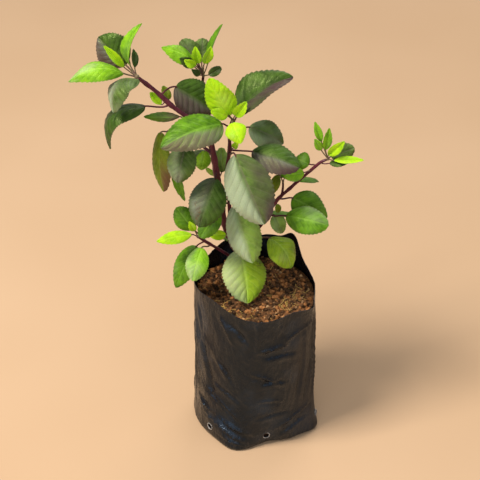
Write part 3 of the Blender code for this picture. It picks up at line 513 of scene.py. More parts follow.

# Colours of each tone: upper face and its mottle, flush, painted sheen, vein, under face; roughness and
# glow
TONES = {
    "dark": Tone((0.052, 0.105, 0.012), (0.022, 0.048, 0.006), (0.070, 0.034, 0.038),
                 (0.190, 0.200, 0.150), (0.100, 0.120, 0.050), (0.130, 0.170, 0.070), 0.38, 0.05),
    "grey": Tone((0.095, 0.155, 0.028), (0.044, 0.080, 0.014), (0.095, 0.056, 0.058),
                 (0.320, 0.370, 0.230), (0.150, 0.130, 0.090), (0.190, 0.240, 0.110), 0.40, 0.05),
    "green": Tone((0.120, 0.270, 0.008), (0.052, 0.135, 0.006), (0.100, 0.070, 0.048),
                  (0.280, 0.340, 0.180), (0.230, 0.410, 0.050), (0.250, 0.380, 0.090), 0.40, 0.1),
    "fresh": Tone((0.230, 0.460, 0.012), (0.120, 0.290, 0.008), (0.150, 0.110, 0.060),
                  (0.400, 0.510, 0.230), (0.380, 0.650, 0.070), (0.350, 0.530, 0.110), 0.40, 0.15),
    "pale": Tone((0.210, 0.330, 0.050), (0.115, 0.195, 0.026), (0.160, 0.100, 0.090),
                 (0.400, 0.480, 0.290), (0.270, 0.320, 0.130), (0.330, 0.420, 0.170), 0.42, 0.1),
    "yellow": Tone((0.320, 0.450, 0.022), (0.190, 0.310, 0.014), (0.190, 0.130, 0.070),
                   (0.420, 0.480, 0.220), (0.480, 0.650, 0.110), (0.400, 0.520, 0.140), 0.42, 0.15),
    "lime": Tone((0.440, 0.700, 0.008), (0.270, 0.510, 0.006), (0.240, 0.170, 0.050),
                 (0.480, 0.640, 0.180), (0.520, 0.740, 0.050), (0.400, 0.600, 0.090), 0.40, 0.15),
    "olive": Tone((0.180, 0.240, 0.010), (0.100, 0.150, 0.008), (0.140, 0.060, 0.036),
                  (0.270, 0.300, 0.130), (0.210, 0.290, 0.040), (0.230, 0.300, 0.080), 0.40, 0.1),
}

# Colours of the compost, its painted-shade wall and its crumbs: darker in low relief, middle, paler on
# high relief
COMPOSTS = {
    "compost": ((0.026, 0.012, 0.006), (0.210, 0.090, 0.034), (0.500, 0.250, 0.100)),
    # Wall behind the film, painted near black as painted shade
    "compost_painted_shade": ((0.006, 0.004, 0.003), (0.020, 0.010, 0.006), (0.050, 0.025, 0.015)),
    "crumb_dark": ((0.022, 0.012, 0.006), (0.110, 0.052, 0.023), (0.280, 0.140, 0.060)),
    "crumb_rust": ((0.130, 0.050, 0.015), (0.420, 0.170, 0.055), (0.680, 0.340, 0.130)),
    "crumb_pale": ((0.240, 0.120, 0.050), (0.520, 0.300, 0.140), (0.750, 0.520, 0.280)),
}

# Colours of a stem's skin, its streaks and its pale down
STEM_PURPLE = ((0.055, 0.007, 0.014), (0.105, 0.016, 0.026), (0.300, 0.180, 0.190))
YOUNG_STALK = ((0.140, 0.110, 0.050), (0.120, 0.045, 0.050), (0.420, 0.420, 0.300))

# Colours of the film, of the lips of its holes, of straw and of the leaves' spots
FILM_BLACK = (0.004, 0.004, 0.005)
FILM_WORN = (0.010, 0.010, 0.012)
# Painted grey-blue reflection of the sky on the film
FILM_PAINTED_REFLECTION = (0.016, 0.023, 0.034)
# Brown dust, which on the left and right sides is also a painted reflection of the ground
FILM_DUST_AND_REFLECTION = (0.030, 0.014, 0.008)
FILM_SPLASH = (0.050, 0.034, 0.024)
LIP_COLOURS = ((0.380, 0.350, 0.330), (0.140, 0.130, 0.120))
STRAW_COLOURS = ((0.620, 0.400, 0.090), (0.330, 0.180, 0.045))
SPOT_BROWN = (0.115, 0.045, 0.018)

# Tints of the gloss
LEAF_GLOSS = (0.80, 1.0, 0.35, 1.0)
UNDER_GLOSS = (0.80, 1.0, 0.45, 1.0)
STEM_GLOSS = (1.0, 0.66, 0.74, 1.0)
FILM_GLOSS = (0.56, 0.75, 1.0, 1.0)

# Studio, in metres
FLOOR_SIZE = 8.0
FLOOR_COLOURS = ((0.55, 0.35, 0.20), (0.61, 0.40, 0.24))
WORLD_COLOUR = (0.86, 0.92, 1.0, 1.0)
WORLD_STRENGTH = 0.32
LIGHT_AIM = (-0.02, 0.0, 0.17)
LIGHTS = {
    "key_light": Light((-0.70, -0.35, 1.50), 0.45, 30.0, (1.0, 0.96, 0.88)),
    "fill_light": Light((0.95, -0.6, 0.9), 1.0, 2.5, (0.93, 0.96, 1.0)),
    "sky_light": Light((-0.45, -1.6, 0.62), 1.1, 8.0, (0.84, 0.93, 1.0)),
    "back_light": Light((0.35, 1.0, 1.2), 0.8, 7.0, (1.0, 0.98, 0.94)),
}


# Small helpers


def deselect_all():
    for obj in bpy.context.selected_objects:
        obj.select_set(False)


def activate(obj):
    deselect_all()
    obj.select_set(True)
    bpy.context.view_layer.objects.active = obj


def take_primitive(name):
    """Name the primitive that was just added."""
    obj = bpy.context.active_object
    obj.name = name
    obj.data.name = name
    return obj


def settle(obj):
    """Put the object's place into its mesh, so that its origin is the row frame's."""
    obj.data.transform(obj.matrix_world)
    obj.matrix_world = Matrix.Identity(4)
    return obj


def apply_modifier(obj, modifier):
    activate(obj)
    bpy.ops.object.modifier_apply(modifier=modifier.name)


def join_into(first, others):
    """Join the others into the first object."""
    activate(first)
    for obj in others:
        obj.select_set(True)
    bpy.ops.object.join()
    return first


def smooth(obj, angle=60.0):
    activate(obj)
    bpy.ops.object.shade_smooth_by_angle(angle=math.radians(angle))


def show(obj, slot, *nodes):
    """Make a finished piece ride on the plant's body, in place of its CAD nodes."""
    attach(obj, BODY)
    if nodes:
        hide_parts(*nodes)


def clamp(value):
    return max(0.0, min(1.0, value))


def ease(value):
    """Smooth step from 0 to 1."""
    value = clamp(value)
    return value * value * (3.0 - 2.0 * value)


def ringed_cylinder(name, sides, rings):
    """Closed unit cylinder along Z with this many rings of vertices."""
    bpy.ops.mesh.primitive_cylinder_add(vertices=sides, radius=1.0, depth=1.0, end_fill_type="NGON")
    obj = take_primitive(name)
    mesh = bmesh.new()
    mesh.from_mesh(obj.data)
    upright = [edge for edge in mesh.edges if abs(edge.verts[0].co.z - edge.verts[1].co.z) > 0.5]
    bmesh.ops.subdivide_edges(mesh, edges=upright, cuts=rings - 2, use_grid_fill=True)
    mesh.to_mesh(obj.data)
    mesh.free()
    return obj


def ring_of(vertex, rings):
    return round((vertex.co.z + 0.5) * (rings - 1))


# Shading groups and nodes


def add_node(tree, kind, **settings):
    node = tree.nodes.new(kind)
    for key, value in settings.items():
        setattr(node, key, value)
    return node


def feed(tree, socket, value):
    """Link an output to a socket, or set the socket to a plain value."""
    if isinstance(value, bpy.types.NodeSocket):
        tree.links.new(value, socket)
    else:
        socket.default_value = value


def maths(tree, operation, first, second=None):
    node = add_node(tree, "ShaderNodeMath", operation=operation)
    feed(tree, node.inputs[0], first)
    if second is not None:
        feed(tree, node.inputs[1], second)
    return node.outputs[0]


def remap(tree, value, low, high, to_low=0.0, to_high=1.0):
    """Smoothly map value from low..high to to_low..to_high."""
    node = add_node(tree, "ShaderNodeMapRange", interpolation_type="SMOOTHSTEP")
    feed(tree, node.inputs["Value"], value)
    node.inputs["From Min"].default_value = low
    node.inputs["From Max"].default_value = high
    node.inputs["To Min"].default_value = to_low
    node.inputs["To Max"].default_value = to_high
    return node.outputs["Result"]


def mix_colour(tree, share, first, second):
    node = add_node(tree, "ShaderNodeMix", data_type="RGBA")
    feed(tree, node.inputs[0], share)
    feed(tree, node.inputs[6], first if isinstance(first, bpy.types.NodeSocket) else (*first, 1.0))
    feed(tree, node.inputs[7], second if isinstance(second, bpy.types.NodeSocket) else (*second, 1.0))
    return node.outputs[2]


def object_point(tree, stretch=(1.0, 1.0, 1.0)):
    """The point's place in the row frame, stretched for uneven grain."""
    place = add_node(tree, "ShaderNodeTexCoord").outputs["Object"]
    mapping = add_node(tree, "ShaderNodeMapping")
    mapping.inputs["Scale"].default_value = stretch
    tree.links.new(place, mapping.inputs["Vector"])
    return mapping.outputs["Vector"]


def grain(tree, scale, detail=3.0, vector=None, roughness=0.55):
    node = add_node(tree, "ShaderNodeTexNoise")
    node.inputs["Scale"].default_value = scale
    node.inputs["Detail"].default_value = detail
    node.inputs["Roughness"].default_value = roughness
    tree.links.new(vector or object_point(tree), node.inputs["Vector"])
    return node.outputs["Fac"]


def cells(tree, scale, vector=None, feature="F1"):
    node = add_node(tree, "ShaderNodeTexVoronoi", feature=feature)
    node.inputs["Scale"].default_value = scale
    tree.links.new(vector or object_point(tree), node.inputs["Vector"])
    return node.outputs["Distance"]


def attribute(tree, name):
    return add_node(tree, "ShaderNodeAttribute", attribute_name=name).outputs["Fac"]


def make_material(name):
    material = bpy.data.materials.new(name)
    material.use_nodes = True
    tree = material.node_tree
    return material, tree, tree.nodes["Principled BSDF"]


def set_sockets(shader, values):
    """Set the shader's own sockets to constants."""
    for name, value in values.items():
        shader.inputs[name].default_value = value


def add_bump(tree, shader, height, strength, distance):
    bump = add_node(tree, "ShaderNodeBump")
    bump.inputs["Strength"].default_value = strength
    bump.inputs["Distance"].default_value = distance * MM
    tree.links.new(height, bump.inputs["Height"])
    tree.links.new(bump.outputs["Normal"], shader.inputs["Normal"])


def group_socket(tree, name, in_out, kind="NodeSocketFloat", value=None):
    socket = tree.interface.new_socket(name=name, in_out=in_out, socket_type=kind)
    if value is not None:
        socket.default_value = value
    return socket


def build_vein_group():
    """Masks of a blade's midrib, side veins and margin from its own UV map."""
    tree = bpy.data.node_groups.new("leaf_veins", "ShaderNodeTree")
    group_socket(tree, "UV", "INPUT", "NodeSocketVector")
    group_socket(tree, "Count", "INPUT", value=SIDE_VEINS)
    group_socket(tree, "Slope", "INPUT", value=VEIN_SLOPE)
    for name in ("Midrib", "Side veins", "Margin"):
        group_socket(tree, name, "OUTPUT")
    start = add_node(tree, "NodeGroupInput")
    end = add_node(tree, "NodeGroupOutput")
    place = add_node(tree, "ShaderNodeSeparateXYZ")
    tree.links.new(start.outputs["UV"], place.inputs[0])
    from_left = maths(tree, "MULTIPLY", place.outputs["X"], 2.0)
    across = maths(tree, "ABSOLUTE", maths(tree, "SUBTRACT", from_left, 1.0))
    slant = maths(tree, "MULTIPLY", across, start.outputs["Slope"])
    swept = maths(tree, "SUBTRACT", place.outputs["Y"], slant)
    phase = maths(tree, "FRACT", maths(tree, "MULTIPLY", swept, start.outputs["Count"]))
    away = maths(tree, "SUBTRACT", 0.5, maths(tree, "ABSOLUTE", maths(tree, "SUBTRACT", phase, 0.5)))
    line = remap(tree, away, 0.02, 0.11, 1.0, 0.0)
    inside = remap(tree, across, 0.6, 0.98, 1.0, 0.0)
    tree.links.new(maths(tree, "MULTIPLY", line, inside), end.inputs["Side veins"])
    tree.links.new(remap(tree, across, 0.02, 0.09, 1.0, 0.0), end.inputs["Midrib"])
    tree.links.new(remap(tree, across, 0.86, 1.0), end.inputs["Margin"])
    return tree


def use_veins(tree):
    node = add_node(tree, "ShaderNodeGroup", node_tree=bpy.data.node_groups["leaf_veins"])
    uv = add_node(tree, "ShaderNodeUVMap", uv_map="UVMap").outputs["UV"]
    tree.links.new(uv, node.inputs["UV"])
    node.inputs["Count"].default_value = SIDE_VEINS
    node.inputs["Slope"].default_value = VEIN_SLOPE
    return node.outputs["Midrib"], node.outputs["Side veins"], node.outputs["Margin"]


# Materials


def blade_upper_material(name):
    """Upper face of a blade: mottled green, purple flush that is partly painted shade, painted sheen,
    sunk veins and net, brown spots.
    """
    tone = TONES[name]
    material, tree, shader = make_material(f"blade_upper_{name}")
    midrib, side_veins, margin = use_veins(tree)
    mottle = grain(tree, 160.0, 4.0)
    colour = mix_colour(tree, remap(tree, mottle, 0.35, 0.7), tone.upper, tone.shade)
    # Painted sheen: pale grey-green where the blade would catch the sky's reflection
    colour = mix_colour(tree, attribute(tree, "bloom"), colour, tone.bloom)
    # Purple flush, which on some leaves also darkens the half in shade as painted shade
    colour = mix_colour(tree, attribute(tree, "purple"), colour, tone.purple)
    colour = mix_colour(tree, maths(tree, "MULTIPLY", side_veins, 0.22), colour, tone.vein)
    colour = mix_colour(tree, maths(tree, "MULTIPLY", midrib, 0.45), colour, tone.vein)
    colour = mix_colour(tree, maths(tree, "MULTIPLY", margin, 0.25), colour, tone.purple)
    net = cells(tree, 750.0, feature="DISTANCE_TO_EDGE")
    net_line = remap(tree, net, 0.0, 0.12, 1.0, 0.0)
    colour = mix_colour(tree, maths(tree, "MULTIPLY", net_line, 0.14), colour, tone.shade)
    speckle = remap(tree, grain(tree, 900.0, 2.0), 0.42, 0.6)
    spot = maths(tree, "MULTIPLY", attribute(tree, "spot"), speckle)
    colour = mix_colour(tree, spot, colour, SPOT_BROWN)
    tree.links.new(colour, shader.inputs["Base Color"])
    rough = remap(tree, grain(tree, 420.0, 3.0), 0.3, 0.7, tone.roughness - 0.06, tone.roughness + 0.12)
    tree.links.new(rough, shader.inputs["Roughness"])
    relief = maths(tree, "SUBTRACT", maths(tree, "MULTIPLY", remap(tree, net, 0.0, 0.3), 0.5),
                   maths(tree, "MULTIPLY", side_veins, 0.6))
    relief = maths(tree, "ADD", relief, maths(tree, "MULTIPLY", grain(tree, 2600.0, 2.0), 0.25))
    add_bump(tree, shader, relief, 0.55, 0.25)
    set_sockets(shader, {"Sheen Weight": 0.02, "Sheen Roughness": 0.5, "Specular IOR Level": 0.32,
                         "Specular Tint": LEAF_GLOSS, "Subsurface Weight": tone.glow,
                         "Subsurface Radius": (0.6, 1.0, 0.2), "Subsurface Scale": 0.8 * MM})
    return material


def blade_under_material(name):
    """Under face of a blade: paler, with raised purple veins."""
    tone = TONES[name]
    material, tree, shader = make_material(f"blade_under_{name}")
    midrib, side_veins, margin = use_veins(tree)
    colour = mix_colour(tree, remap(tree, grain(tree, 140.0, 4.0), 0.35, 0.7), tone.under, tone.upper)
    colour = mix_colour(tree, maths(tree, "MULTIPLY", side_veins, 0.5), colour, tone.purple)
    colour = mix_colour(tree, maths(tree, "MULTIPLY", midrib, 0.6), colour, tone.purple)
    colour = mix_colour(tree, maths(tree, "MULTIPLY", margin, 0.5), colour, tone.purple)
    tree.links.new(colour, shader.inputs["Base Color"])
    tree.links.new(remap(tree, grain(tree, 500.0), 0.3, 0.7, 0.5, 0.66), shader.inputs["Roughness"])
    net = cells(tree, 700.0, feature="DISTANCE_TO_EDGE")
    relief = maths(tree, "ADD", side_veins, remap(tree, net, 0.0, 0.15, 0.5, 0.0))
    add_bump(tree, shader, relief, 0.5, 0.25)
    set_sockets(shader, {"Sheen Weight": 0.03, "Specular IOR Level": 0.25, "Specular Tint": UNDER_GLOSS})
    return material


def stem_material(name, skin, streak, pale):
    """Stem and petiole skin: long streaks, pale down and fine ridges."""
    material, tree, shader = make_material(name)
    streaks = grain(tree, 260.0, 4.0, object_point(tree, (1.0, 1.0, 0.18)))
    colour = mix_colour(tree, remap(tree, streaks, 0.4, 0.68), skin, streak)
    down = grain(tree, 1700.0, 2.0, object_point(tree, (1.0, 1.0, 0.6)))
    colour = mix_colour(tree, remap(tree, down, 0.6, 0.78, 0.0, 0.3), colour, pale)
    tree.links.new(colour, shader.inputs["Base Color"])
    tree.links.new(remap(tree, streaks, 0.3, 0.7, 0.36, 0.55), shader.inputs["Roughness"])
    add_bump(tree, shader, maths(tree, "ADD", streaks, maths(tree, "MULTIPLY", down, 0.6)), 0.5, 0.3)
    set_sockets(shader, {"Sheen Weight": 0.05, "Sheen Roughness": 0.4, "Specular IOR Level": 0.35,
                         "Specular Tint": STEM_GLOSS})
    return material


def film_material():
    """Black film: fine crinkle, painted blue-grey reflection, splashes low down, dust and painted ground
    reflection, thicker on two sides.
    """
    material, tree, shader = make_material("bag_film")
    crinkle = grain(tree, 95.0, 6.0, object_point(tree, (1.0, 1.0, 0.55)), 0.62)
    fine = grain(tree, 520.0, 4.0, object_point(tree, (1.0, 1.0, 0.4)))
    place = add_node(tree, "ShaderNodeSeparateXYZ")
    tree.links.new(object_point(tree), place.inputs[0])
    # Brown dust, thicker towards the left and right sides, where it is also a painted reflection of the
    # ground
    sides = remap(tree, maths(tree, "ABSOLUTE", place.outputs["X"]), 0.012, 0.045, 0.15, 1.0)
    dust_and_reflection = remap(tree, grain(tree, 26.0, 5.0, object_point(tree, (1.0, 1.0, 0.35))), 0.32, 0.7)
    dust_and_reflection = maths(tree, "MULTIPLY", dust_and_reflection, sides)
    colour = mix_colour(tree, remap(tree, fine, 0.45, 0.75, 0.0, 0.5), FILM_BLACK, FILM_WORN)
    # Painted reflection: grey-blue patches of sky on the film
    painted_reflection = remap(tree, grain(tree, 34.0, 3.0), 0.48, 0.72)
    colour = mix_colour(tree, maths(tree, "MULTIPLY", painted_reflection, 0.7), colour, FILM_PAINTED_REFLECTION)
    colour = mix_colour(tree, maths(tree, "MULTIPLY", dust_and_reflection, 0.35), colour, FILM_DUST_AND_REFLECTION)
    splash = maths(tree, "MULTIPLY", remap(tree, place.outputs["Z"], 0.0, 0.03, 0.4, 0.0),
                   remap(tree, fine, 0.45, 0.7))
    colour = mix_colour(tree, splash, colour, FILM_SPLASH)
    tree.links.new(colour, shader.inputs["Base Color"])
    rough = remap(tree, crinkle, 0.3, 0.75, 0.18, 0.32)
    rough = maths(tree, "ADD", rough, maths(tree, "MULTIPLY", dust_and_reflection, 0.14))
    tree.links.new(rough, shader.inputs["Roughness"])
    relief = maths(tree, "ADD", crinkle, maths(tree, "MULTIPLY", fine, 0.2))
    add_bump(tree, shader, relief, 0.8, 2.6)
    set_sockets(shader, {"Specular IOR Level": 0.45, "Specular Tint": FILM_GLOSS})
    return material


def lip_material():
    """Stretched pale film round a punched hole."""
    material, tree, shader = make_material("bag_hole_lip")
    worn = grain(tree, 900.0)
    colour = mix_colour(tree, remap(tree, worn, 0.35, 0.7), *LIP_COLOURS)
    tree.links.new(colour, shader.inputs["Base Color"])
    tree.links.new(remap(tree, worn, 0.3, 0.7, 0.3, 0.5), shader.inputs["Roughness"])
    return material


def compost_material(name, dark, middle, light):
    """Compost: darker where its relief is low, rust crumbs, and paler where the relief is high."""
    material, tree, shader = make_material(name)
    coarse = grain(tree, 190.0, 6.0, None, 0.65)
    fine = grain(tree, 900.0, 5.0, None, 0.7)
    colour = mix_colour(tree, remap(tree, coarse, 0.36, 0.6), dark, middle)
    colour = mix_colour(tree, remap(tree, fine, 0.52, 0.74, 0.0, 0.8), colour, light)
    tree.links.new(colour, shader.inputs["Base Color"])
    tree.links.new(remap(tree, fine, 0.3, 0.7, 0.8, 0.98), shader.inputs["Roughness"])
    add_bump(tree, shader, maths(tree, "ADD", coarse, maths(tree, "MULTIPLY", fine, 0.5)), 0.9, 1.0)
    set_sockets(shader, {"Specular IOR Level": 0.15})
    return material


def straw_material():
    """Pale straw with darker fibres."""
    material, tree, shader = make_material("straw_bits")
    fibre = grain(tree, 700.0, 3.0)
    colour = mix_colour(tree, remap(tree, fibre, 0.35, 0.7), *STRAW_COLOURS)
    tree.links.new(colour, shader.inputs["Base Color"])
    tree.links.new(remap(tree, fibre, 0.3, 0.7, 0.5, 0.75), shader.inputs["Roughness"])
    add_bump(tree, shader, fibre, 0.4, 0.2)
    return material


# The film bag


def bulge(bearing, bulges):
    """Sum of the rounded bulges at one bearing, in degrees."""
    total = 0.0
    for centre, half_width, size in bulges:
        away = (bearing - centre + 180.0) % 360.0 - 180.0
        total += size * math.exp(-((away / half_width) ** 2))
    return total


def rim_height(bearing):
    return BAG_HEIGHT + bulge(bearing, RIM_PEAKS)


def noise_place(angle, height, turns, rise):
    """Place in the noise for a point of the film, so that the pattern closes round the bag."""
    return Vector((turns * math.cos(angle), turns * math.sin(angle), height / rise))


def bag_point(bearing, height, inset=0.0):
    """Point on the film's outer side at a height, before its creases."""
    radius = BAG_RADIUS
    radius += bulge(bearing, FOOT_BULGES) * math.exp(-height / FOOT_REACH)
    radius += bulge(bearing, RIM_BULGES) * math.exp(-(rim_height(bearing) - height) / RIM_REACH)
    radius += BAG_FLARE * math.exp(-height / FOOT_REACH)
    angle = math.radians(bearing)
    radius += BAG_WRINKLE * noise.noise(noise_place(angle, height, BAG_WRINKLE_TURNS, BAG_WRINKLE_HEIGHT))
    if height < BAG_BOTTOM_ROUND:
        rise = 1.0 - height / BAG_BOTTOM_ROUND
        radius -= BAG_BOTTOM_ROUND * (1.0 - math.sqrt(max(0.0, 1.0 - rise * rise)))
    radius -= inset
    return Vector((radius * math.cos(angle), radius * math.sin(angle), height))


def vertex_bearing(co):
    return math.degrees(math.atan2(co.y, co.x))


def crumple(bearing, height):
    """Small crumples of the film, in millimetres outwards."""
    place = noise_place(math.radians(bearing), height, CRUMPLE_TURNS, CRUMPLE_HEIGHT)
    ridge = 1.0 - abs(noise.noise(place * CRUMPLE_CELLS)) * CRUMPLE_SHARP
    small = noise.noise(place * CRUMPLE_GRAIN_CELLS)
    return CRUMPLE_RIDGE * ridge * ridge - CRUMPLE_BASE + CRUMPLE_GRAIN * small


def unrolled(bearing, height):
    """Place on the film as if it lay flat."""
    return Vector((math.radians(bearing) * BAG_RADIUS, height))


def crease_lift(crease, place):
    """How far one crease lifts the film at a place of the unrolled film."""
    start = unrolled(crease.bearing, crease.height)
    run = unrolled(crease.to_bearing, crease.to_height) - start
    share = (place - start).dot(run) / run.length_squared
    if not -CREASE_PAST < share < 1.0 + CREASE_PAST:
        return 0.0
    bow = CREASE_BOW * run.length * math.sin(math.pi * clamp(share))
    away = (place - start).cross(run) / run.length + bow
    if abs(away) > CREASE_REACH * crease.width:
        return 0.0
    fade = ease((share + CREASE_PAST) / CREASE_FADE) * ease((1.0 + CREASE_PAST - share) / CREASE_FADE)
    ridge = math.exp(-abs(away) / (RIDGE_WIDTH * crease.width))
    furrow = FURROW_DEPTH * math.exp(-((away / crease.width - FURROW_PLACE) ** 2))
    return CREASE_GAIN * crease.rise * fade * (ridge - furrow)


def film_lift(bearing, height):
    """Creases and crumples together, fading out at the ground."""
    place = unrolled(bearing, height)
    lift = sum(crease_lift(crease, place) for crease in CREASES)
    return ease(height / LIFT_FROM_GROUND) * (lift + crumple(bearing, height))


def make_bag(materials):
    """Film tube with a closed bottom, crumpled skin, thin rim and punched holes."""
    bag = ringed_cylinder("film_bag", BAG_SIDES, BAG_RINGS)
    mesh = bmesh.new()
    mesh.from_mesh(bag.data)
    top = [face for face in mesh.faces if face.normal.z > 0.9]
    bmesh.ops.delete(mesh, geom=top, context="FACES_ONLY")
    for vertex in mesh.verts:
        share = ring_of(vertex, BAG_RINGS) / (BAG_RINGS - 1)
        bearing = vertex_bearing(vertex.co)
        height = share * rim_height(bearing)
        vertex.co = bag_point(bearing, height, -film_lift(bearing, height)) * MM
    for centre in drain_places():
        open_hole(mesh, centre)
    mesh.to_mesh(bag.data)
    mesh.free()
    wall = bag.modifiers.new("film", "SOLIDIFY")
    wall.thickness = BAG_FILM * MM
    wall.offset = -1.0
    apply_modifier(bag, wall)
    bag.data.materials.append(materials["film"])
    smooth(bag, 70.0)
    show(bag, "bag_film", "grow_bag")
    make_drain_lips(materials)


def drain_places():
    """Centres of the punched holes on the film."""
    places = []
    for index in range(DRAIN_HOLE_COUNT):
        bearing = DRAIN_HOLE_FIRST + index * 360.0 / DRAIN_HOLE_COUNT
        lift = film_lift(bearing, DRAIN_HOLE_HEIGHT)
        places.append(bag_point(bearing, DRAIN_HOLE_HEIGHT, -lift) * MM)
    return places


def open_hole(mesh, centre):
    """Open a round hole in the film and round off its edge."""
    radius = DRAIN_HOLE_RADIUS * MM
    inside = [face for face in mesh.faces if (face.calc_center_median() - centre).length < radius]
    bmesh.ops.delete(mesh, geom=inside, context="FACES")
    outward = Vector((centre.x, centre.y, 0.0)).normalized()
    for vertex in mesh.verts:
        away = vertex.co - centre
        if vertex.is_boundary and away.length < 2.0 * radius:
            flat = away - outward * away.dot(outward)
            vertex.co += flat.normalized() * (radius - flat.length)


def make_drain_lips(materials):
    """Pale stretched rings of film round the holes, modelled once and copied."""
    bpy.ops.mesh.primitive_torus_add(major_radius=(DRAIN_HOLE_RADIUS + DRAIN_LIP_OUT) * MM,
                                     minor_radius=DRAIN_LIP * MM, major_segments=40, minor_segments=10)
    first = take_primitive("drain_lip_0")
    for vertex in first.data.vertices:
        wobble = noise.noise(vertex.co / MM * DRAIN_LIP_CELLS)
        vertex.co *= 1.0 + DRAIN_LIP_WOBBLE * wobble
    first.data.materials.append(materials["lip"])
    smooth(first)
    shape = first.data.copy()
    for index, centre in enumerate(drain_places()):
        lip = first if index == 0 else bpy.data.objects.new(f"drain_lip_{index}", shape.copy())
        if index:
            bpy.context.scene.collection.objects.link(lip)
        outward = Vector((centre.x, centre.y, 0.0)).normalized()
        turn = outward.to_track_quat("Z", "Y").to_matrix().to_4x4()
        spin = Matrix.Rotation(DRAIN_LIP_SPIN * index, 4, "Z")
        lip.data.transform(Matrix.Translation(centre) @ turn @ spin)
        show(lip, "bag_film", "grow_bag")


# The compost


def soil_height(x, y):
    """Height of the compost's top, with lumps and crumbs."""
    out = min(1.0, math.hypot(x, y) / BAG_RADIUS)
    lump = noise.noise(Vector((x / SOIL_LUMP_SPAN, y / SOIL_LUMP_SPAN, 3.0)))
    height = SOIL_HEIGHT + SOIL_LUMP * lump * (1.0 - out ** 6)
    height += SOIL_CROWN * (1.0 - out * out)
    crumb = noise.voronoi(Vector((x / SOIL_CRUMB_SPAN, y / SOIL_CRUMB_SPAN, 0.0)))[0][0]
    grit = noise.noise(Vector((x / SOIL_GRIT_SPAN, y / SOIL_GRIT_SPAN, 7.0)))
    return height + SOIL_CRUMB * (SOIL_CRUMB_LEVEL - crumb) + SOIL_GRIT * grit


@lru_cache(maxsize=None)
def dent_near(bearing, height):
    """Depth of the deepest dent of the film near a place."""
    depths = [0.0]
    for aside in DENT_ASIDE:
        for up in DENT_UP:
            depths.append(-film_lift(bearing + aside, height + up))
    return max(depths)


def wall_inset(bearing, height):
    """How far the compost's wall lies inside the film's plain form, clear of its dents."""
    return BAG_FILM + SOIL_GAP + dent_near(round(bearing, 1), round(height, 1))


def soil_point(bearing, down):
    """Point of the compost's surface; down runs from 0 at the top's middle to 1 below."""
    inset = BAG_FILM + SOIL_GAP
    wall_foot = BAG_BOTTOM_ROUND + 0.5
    if down < SOIL_TOP_SHARE:
        out = down / SOIL_TOP_SHARE
        edge = bag_point(bearing, SOIL_HEIGHT, wall_inset(bearing, SOIL_HEIGHT))
        x = edge.x * out
        y = edge.y * out
        return Vector((x, y, soil_height(x, y)))
    if down < SOIL_WALL_SHARE:
        along = (down - SOIL_TOP_SHARE) / (SOIL_WALL_SHARE - SOIL_TOP_SHARE)
        height = SOIL_HEIGHT + (wall_foot - SOIL_HEIGHT) * along
        return bag_point(bearing, height, wall_inset(bearing, height))
    edge = bag_point(bearing, wall_foot, inset + BAG_BOTTOM_ROUND * 0.6)
    inward = (1.0 - down) / (1.0 - SOIL_WALL_SHARE)
    return Vector((edge.x * inward, edge.y * inward, inset))


def make_soil(materials):
    """Body of the compost, with a lumpy top and a wall behind the film in painted shade, and what lies on
    it.
    """
    bpy.ops.mesh.primitive_uv_sphere_add(segments=SOIL_SIDES, ring_count=SOIL_RINGS, radius=1.0)
    soil = take_primitive("compost_body")
    for vertex in soil.data.vertices:
        down = math.acos(max(-1.0, min(1.0, vertex.co.z))) / math.pi
        vertex.co = soil_point(vertex_bearing(vertex.co), down) * MM
    soil.data.materials.append(materials["compost"])
    soil.data.materials.append(materials["compost_painted_shade"])
    # The wall below the top's edge takes the painted shade
    for face in soil.data.polygons:
        face.material_index = int(face.center.z < (SOIL_HEIGHT - PAINTED_SHADE_BELOW_TOP) * MM)
    smooth(soil, 80.0)
    show(soil, "compost", "potting_soil")
    make_crumbs(materials)
    make_straw(materials)


def soil_spot(chance):
    """A random place on the compost's top, clear of the main stem."""
    while True:
        bearing = chance.uniform(-180.0, 180.0)
        edge = bag_point(bearing, SOIL_HEIGHT, CLEAR_OF_WALL)
        out = math.sqrt(chance.random())
        x = edge.x * out
        y = edge.y * out
        if math.hypot(x - ROOT_END[0], y - ROOT_END[1]) > CLEAR_OF_STEM:
            return Vector((x, y, soil_height(x, y)))


def crumb_shape(chance):
    """One lumpy crumb of unit size."""
    bpy.ops.mesh.primitive_ico_sphere_add(subdivisions=2, radius=1.0)
    crumb = take_primitive("crumb")
    shift = Vector((chance.uniform(0.0, CRUMB_SHIFT), chance.uniform(0.0, CRUMB_SHIFT), 0.0))
    for vertex in crumb.data.vertices:
        lump = CRUMB_LUMP * noise.noise(vertex.co * CRUMB_LUMP_CELLS + shift)
        grit = CRUMB_GRIT * noise.noise(vertex.co * CRUMB_GRIT_CELLS + shift)
        vertex.co *= 1.0 + lump + grit
    return crumb


def place_crumb(chance, shape, smallest, largest, material):
    """One copy of a crumb, sized, turned, flattened and laid on the compost."""
    crumb = shape.copy()
    crumb.data = shape.data.copy()
    crumb.data.materials.append(material)
    bpy.context.scene.collection.objects.link(crumb)
    size = smallest + (largest - smallest) * chance.random() ** 2
    turn = Matrix.Rotation(chance.uniform(0.0, CRUMB_TURN), 4, "Z")
    turn = turn @ Matrix.Rotation(chance.uniform(0.0, CRUMB_TURN), 4, "X")
    flat = Matrix.Diagonal((1.0, chance.uniform(*CRUMB_BROAD), chance.uniform(*CRUMB_FLAT), 1.0))
    place = soil_spot(chance) + Vector((0.0, 0.0, CRUMB_PROUD * size))
    crumb.data.transform(Matrix.Translation(place * MM) @ turn @ flat @ Matrix.Scale(size * MM, 4))
    return crumb


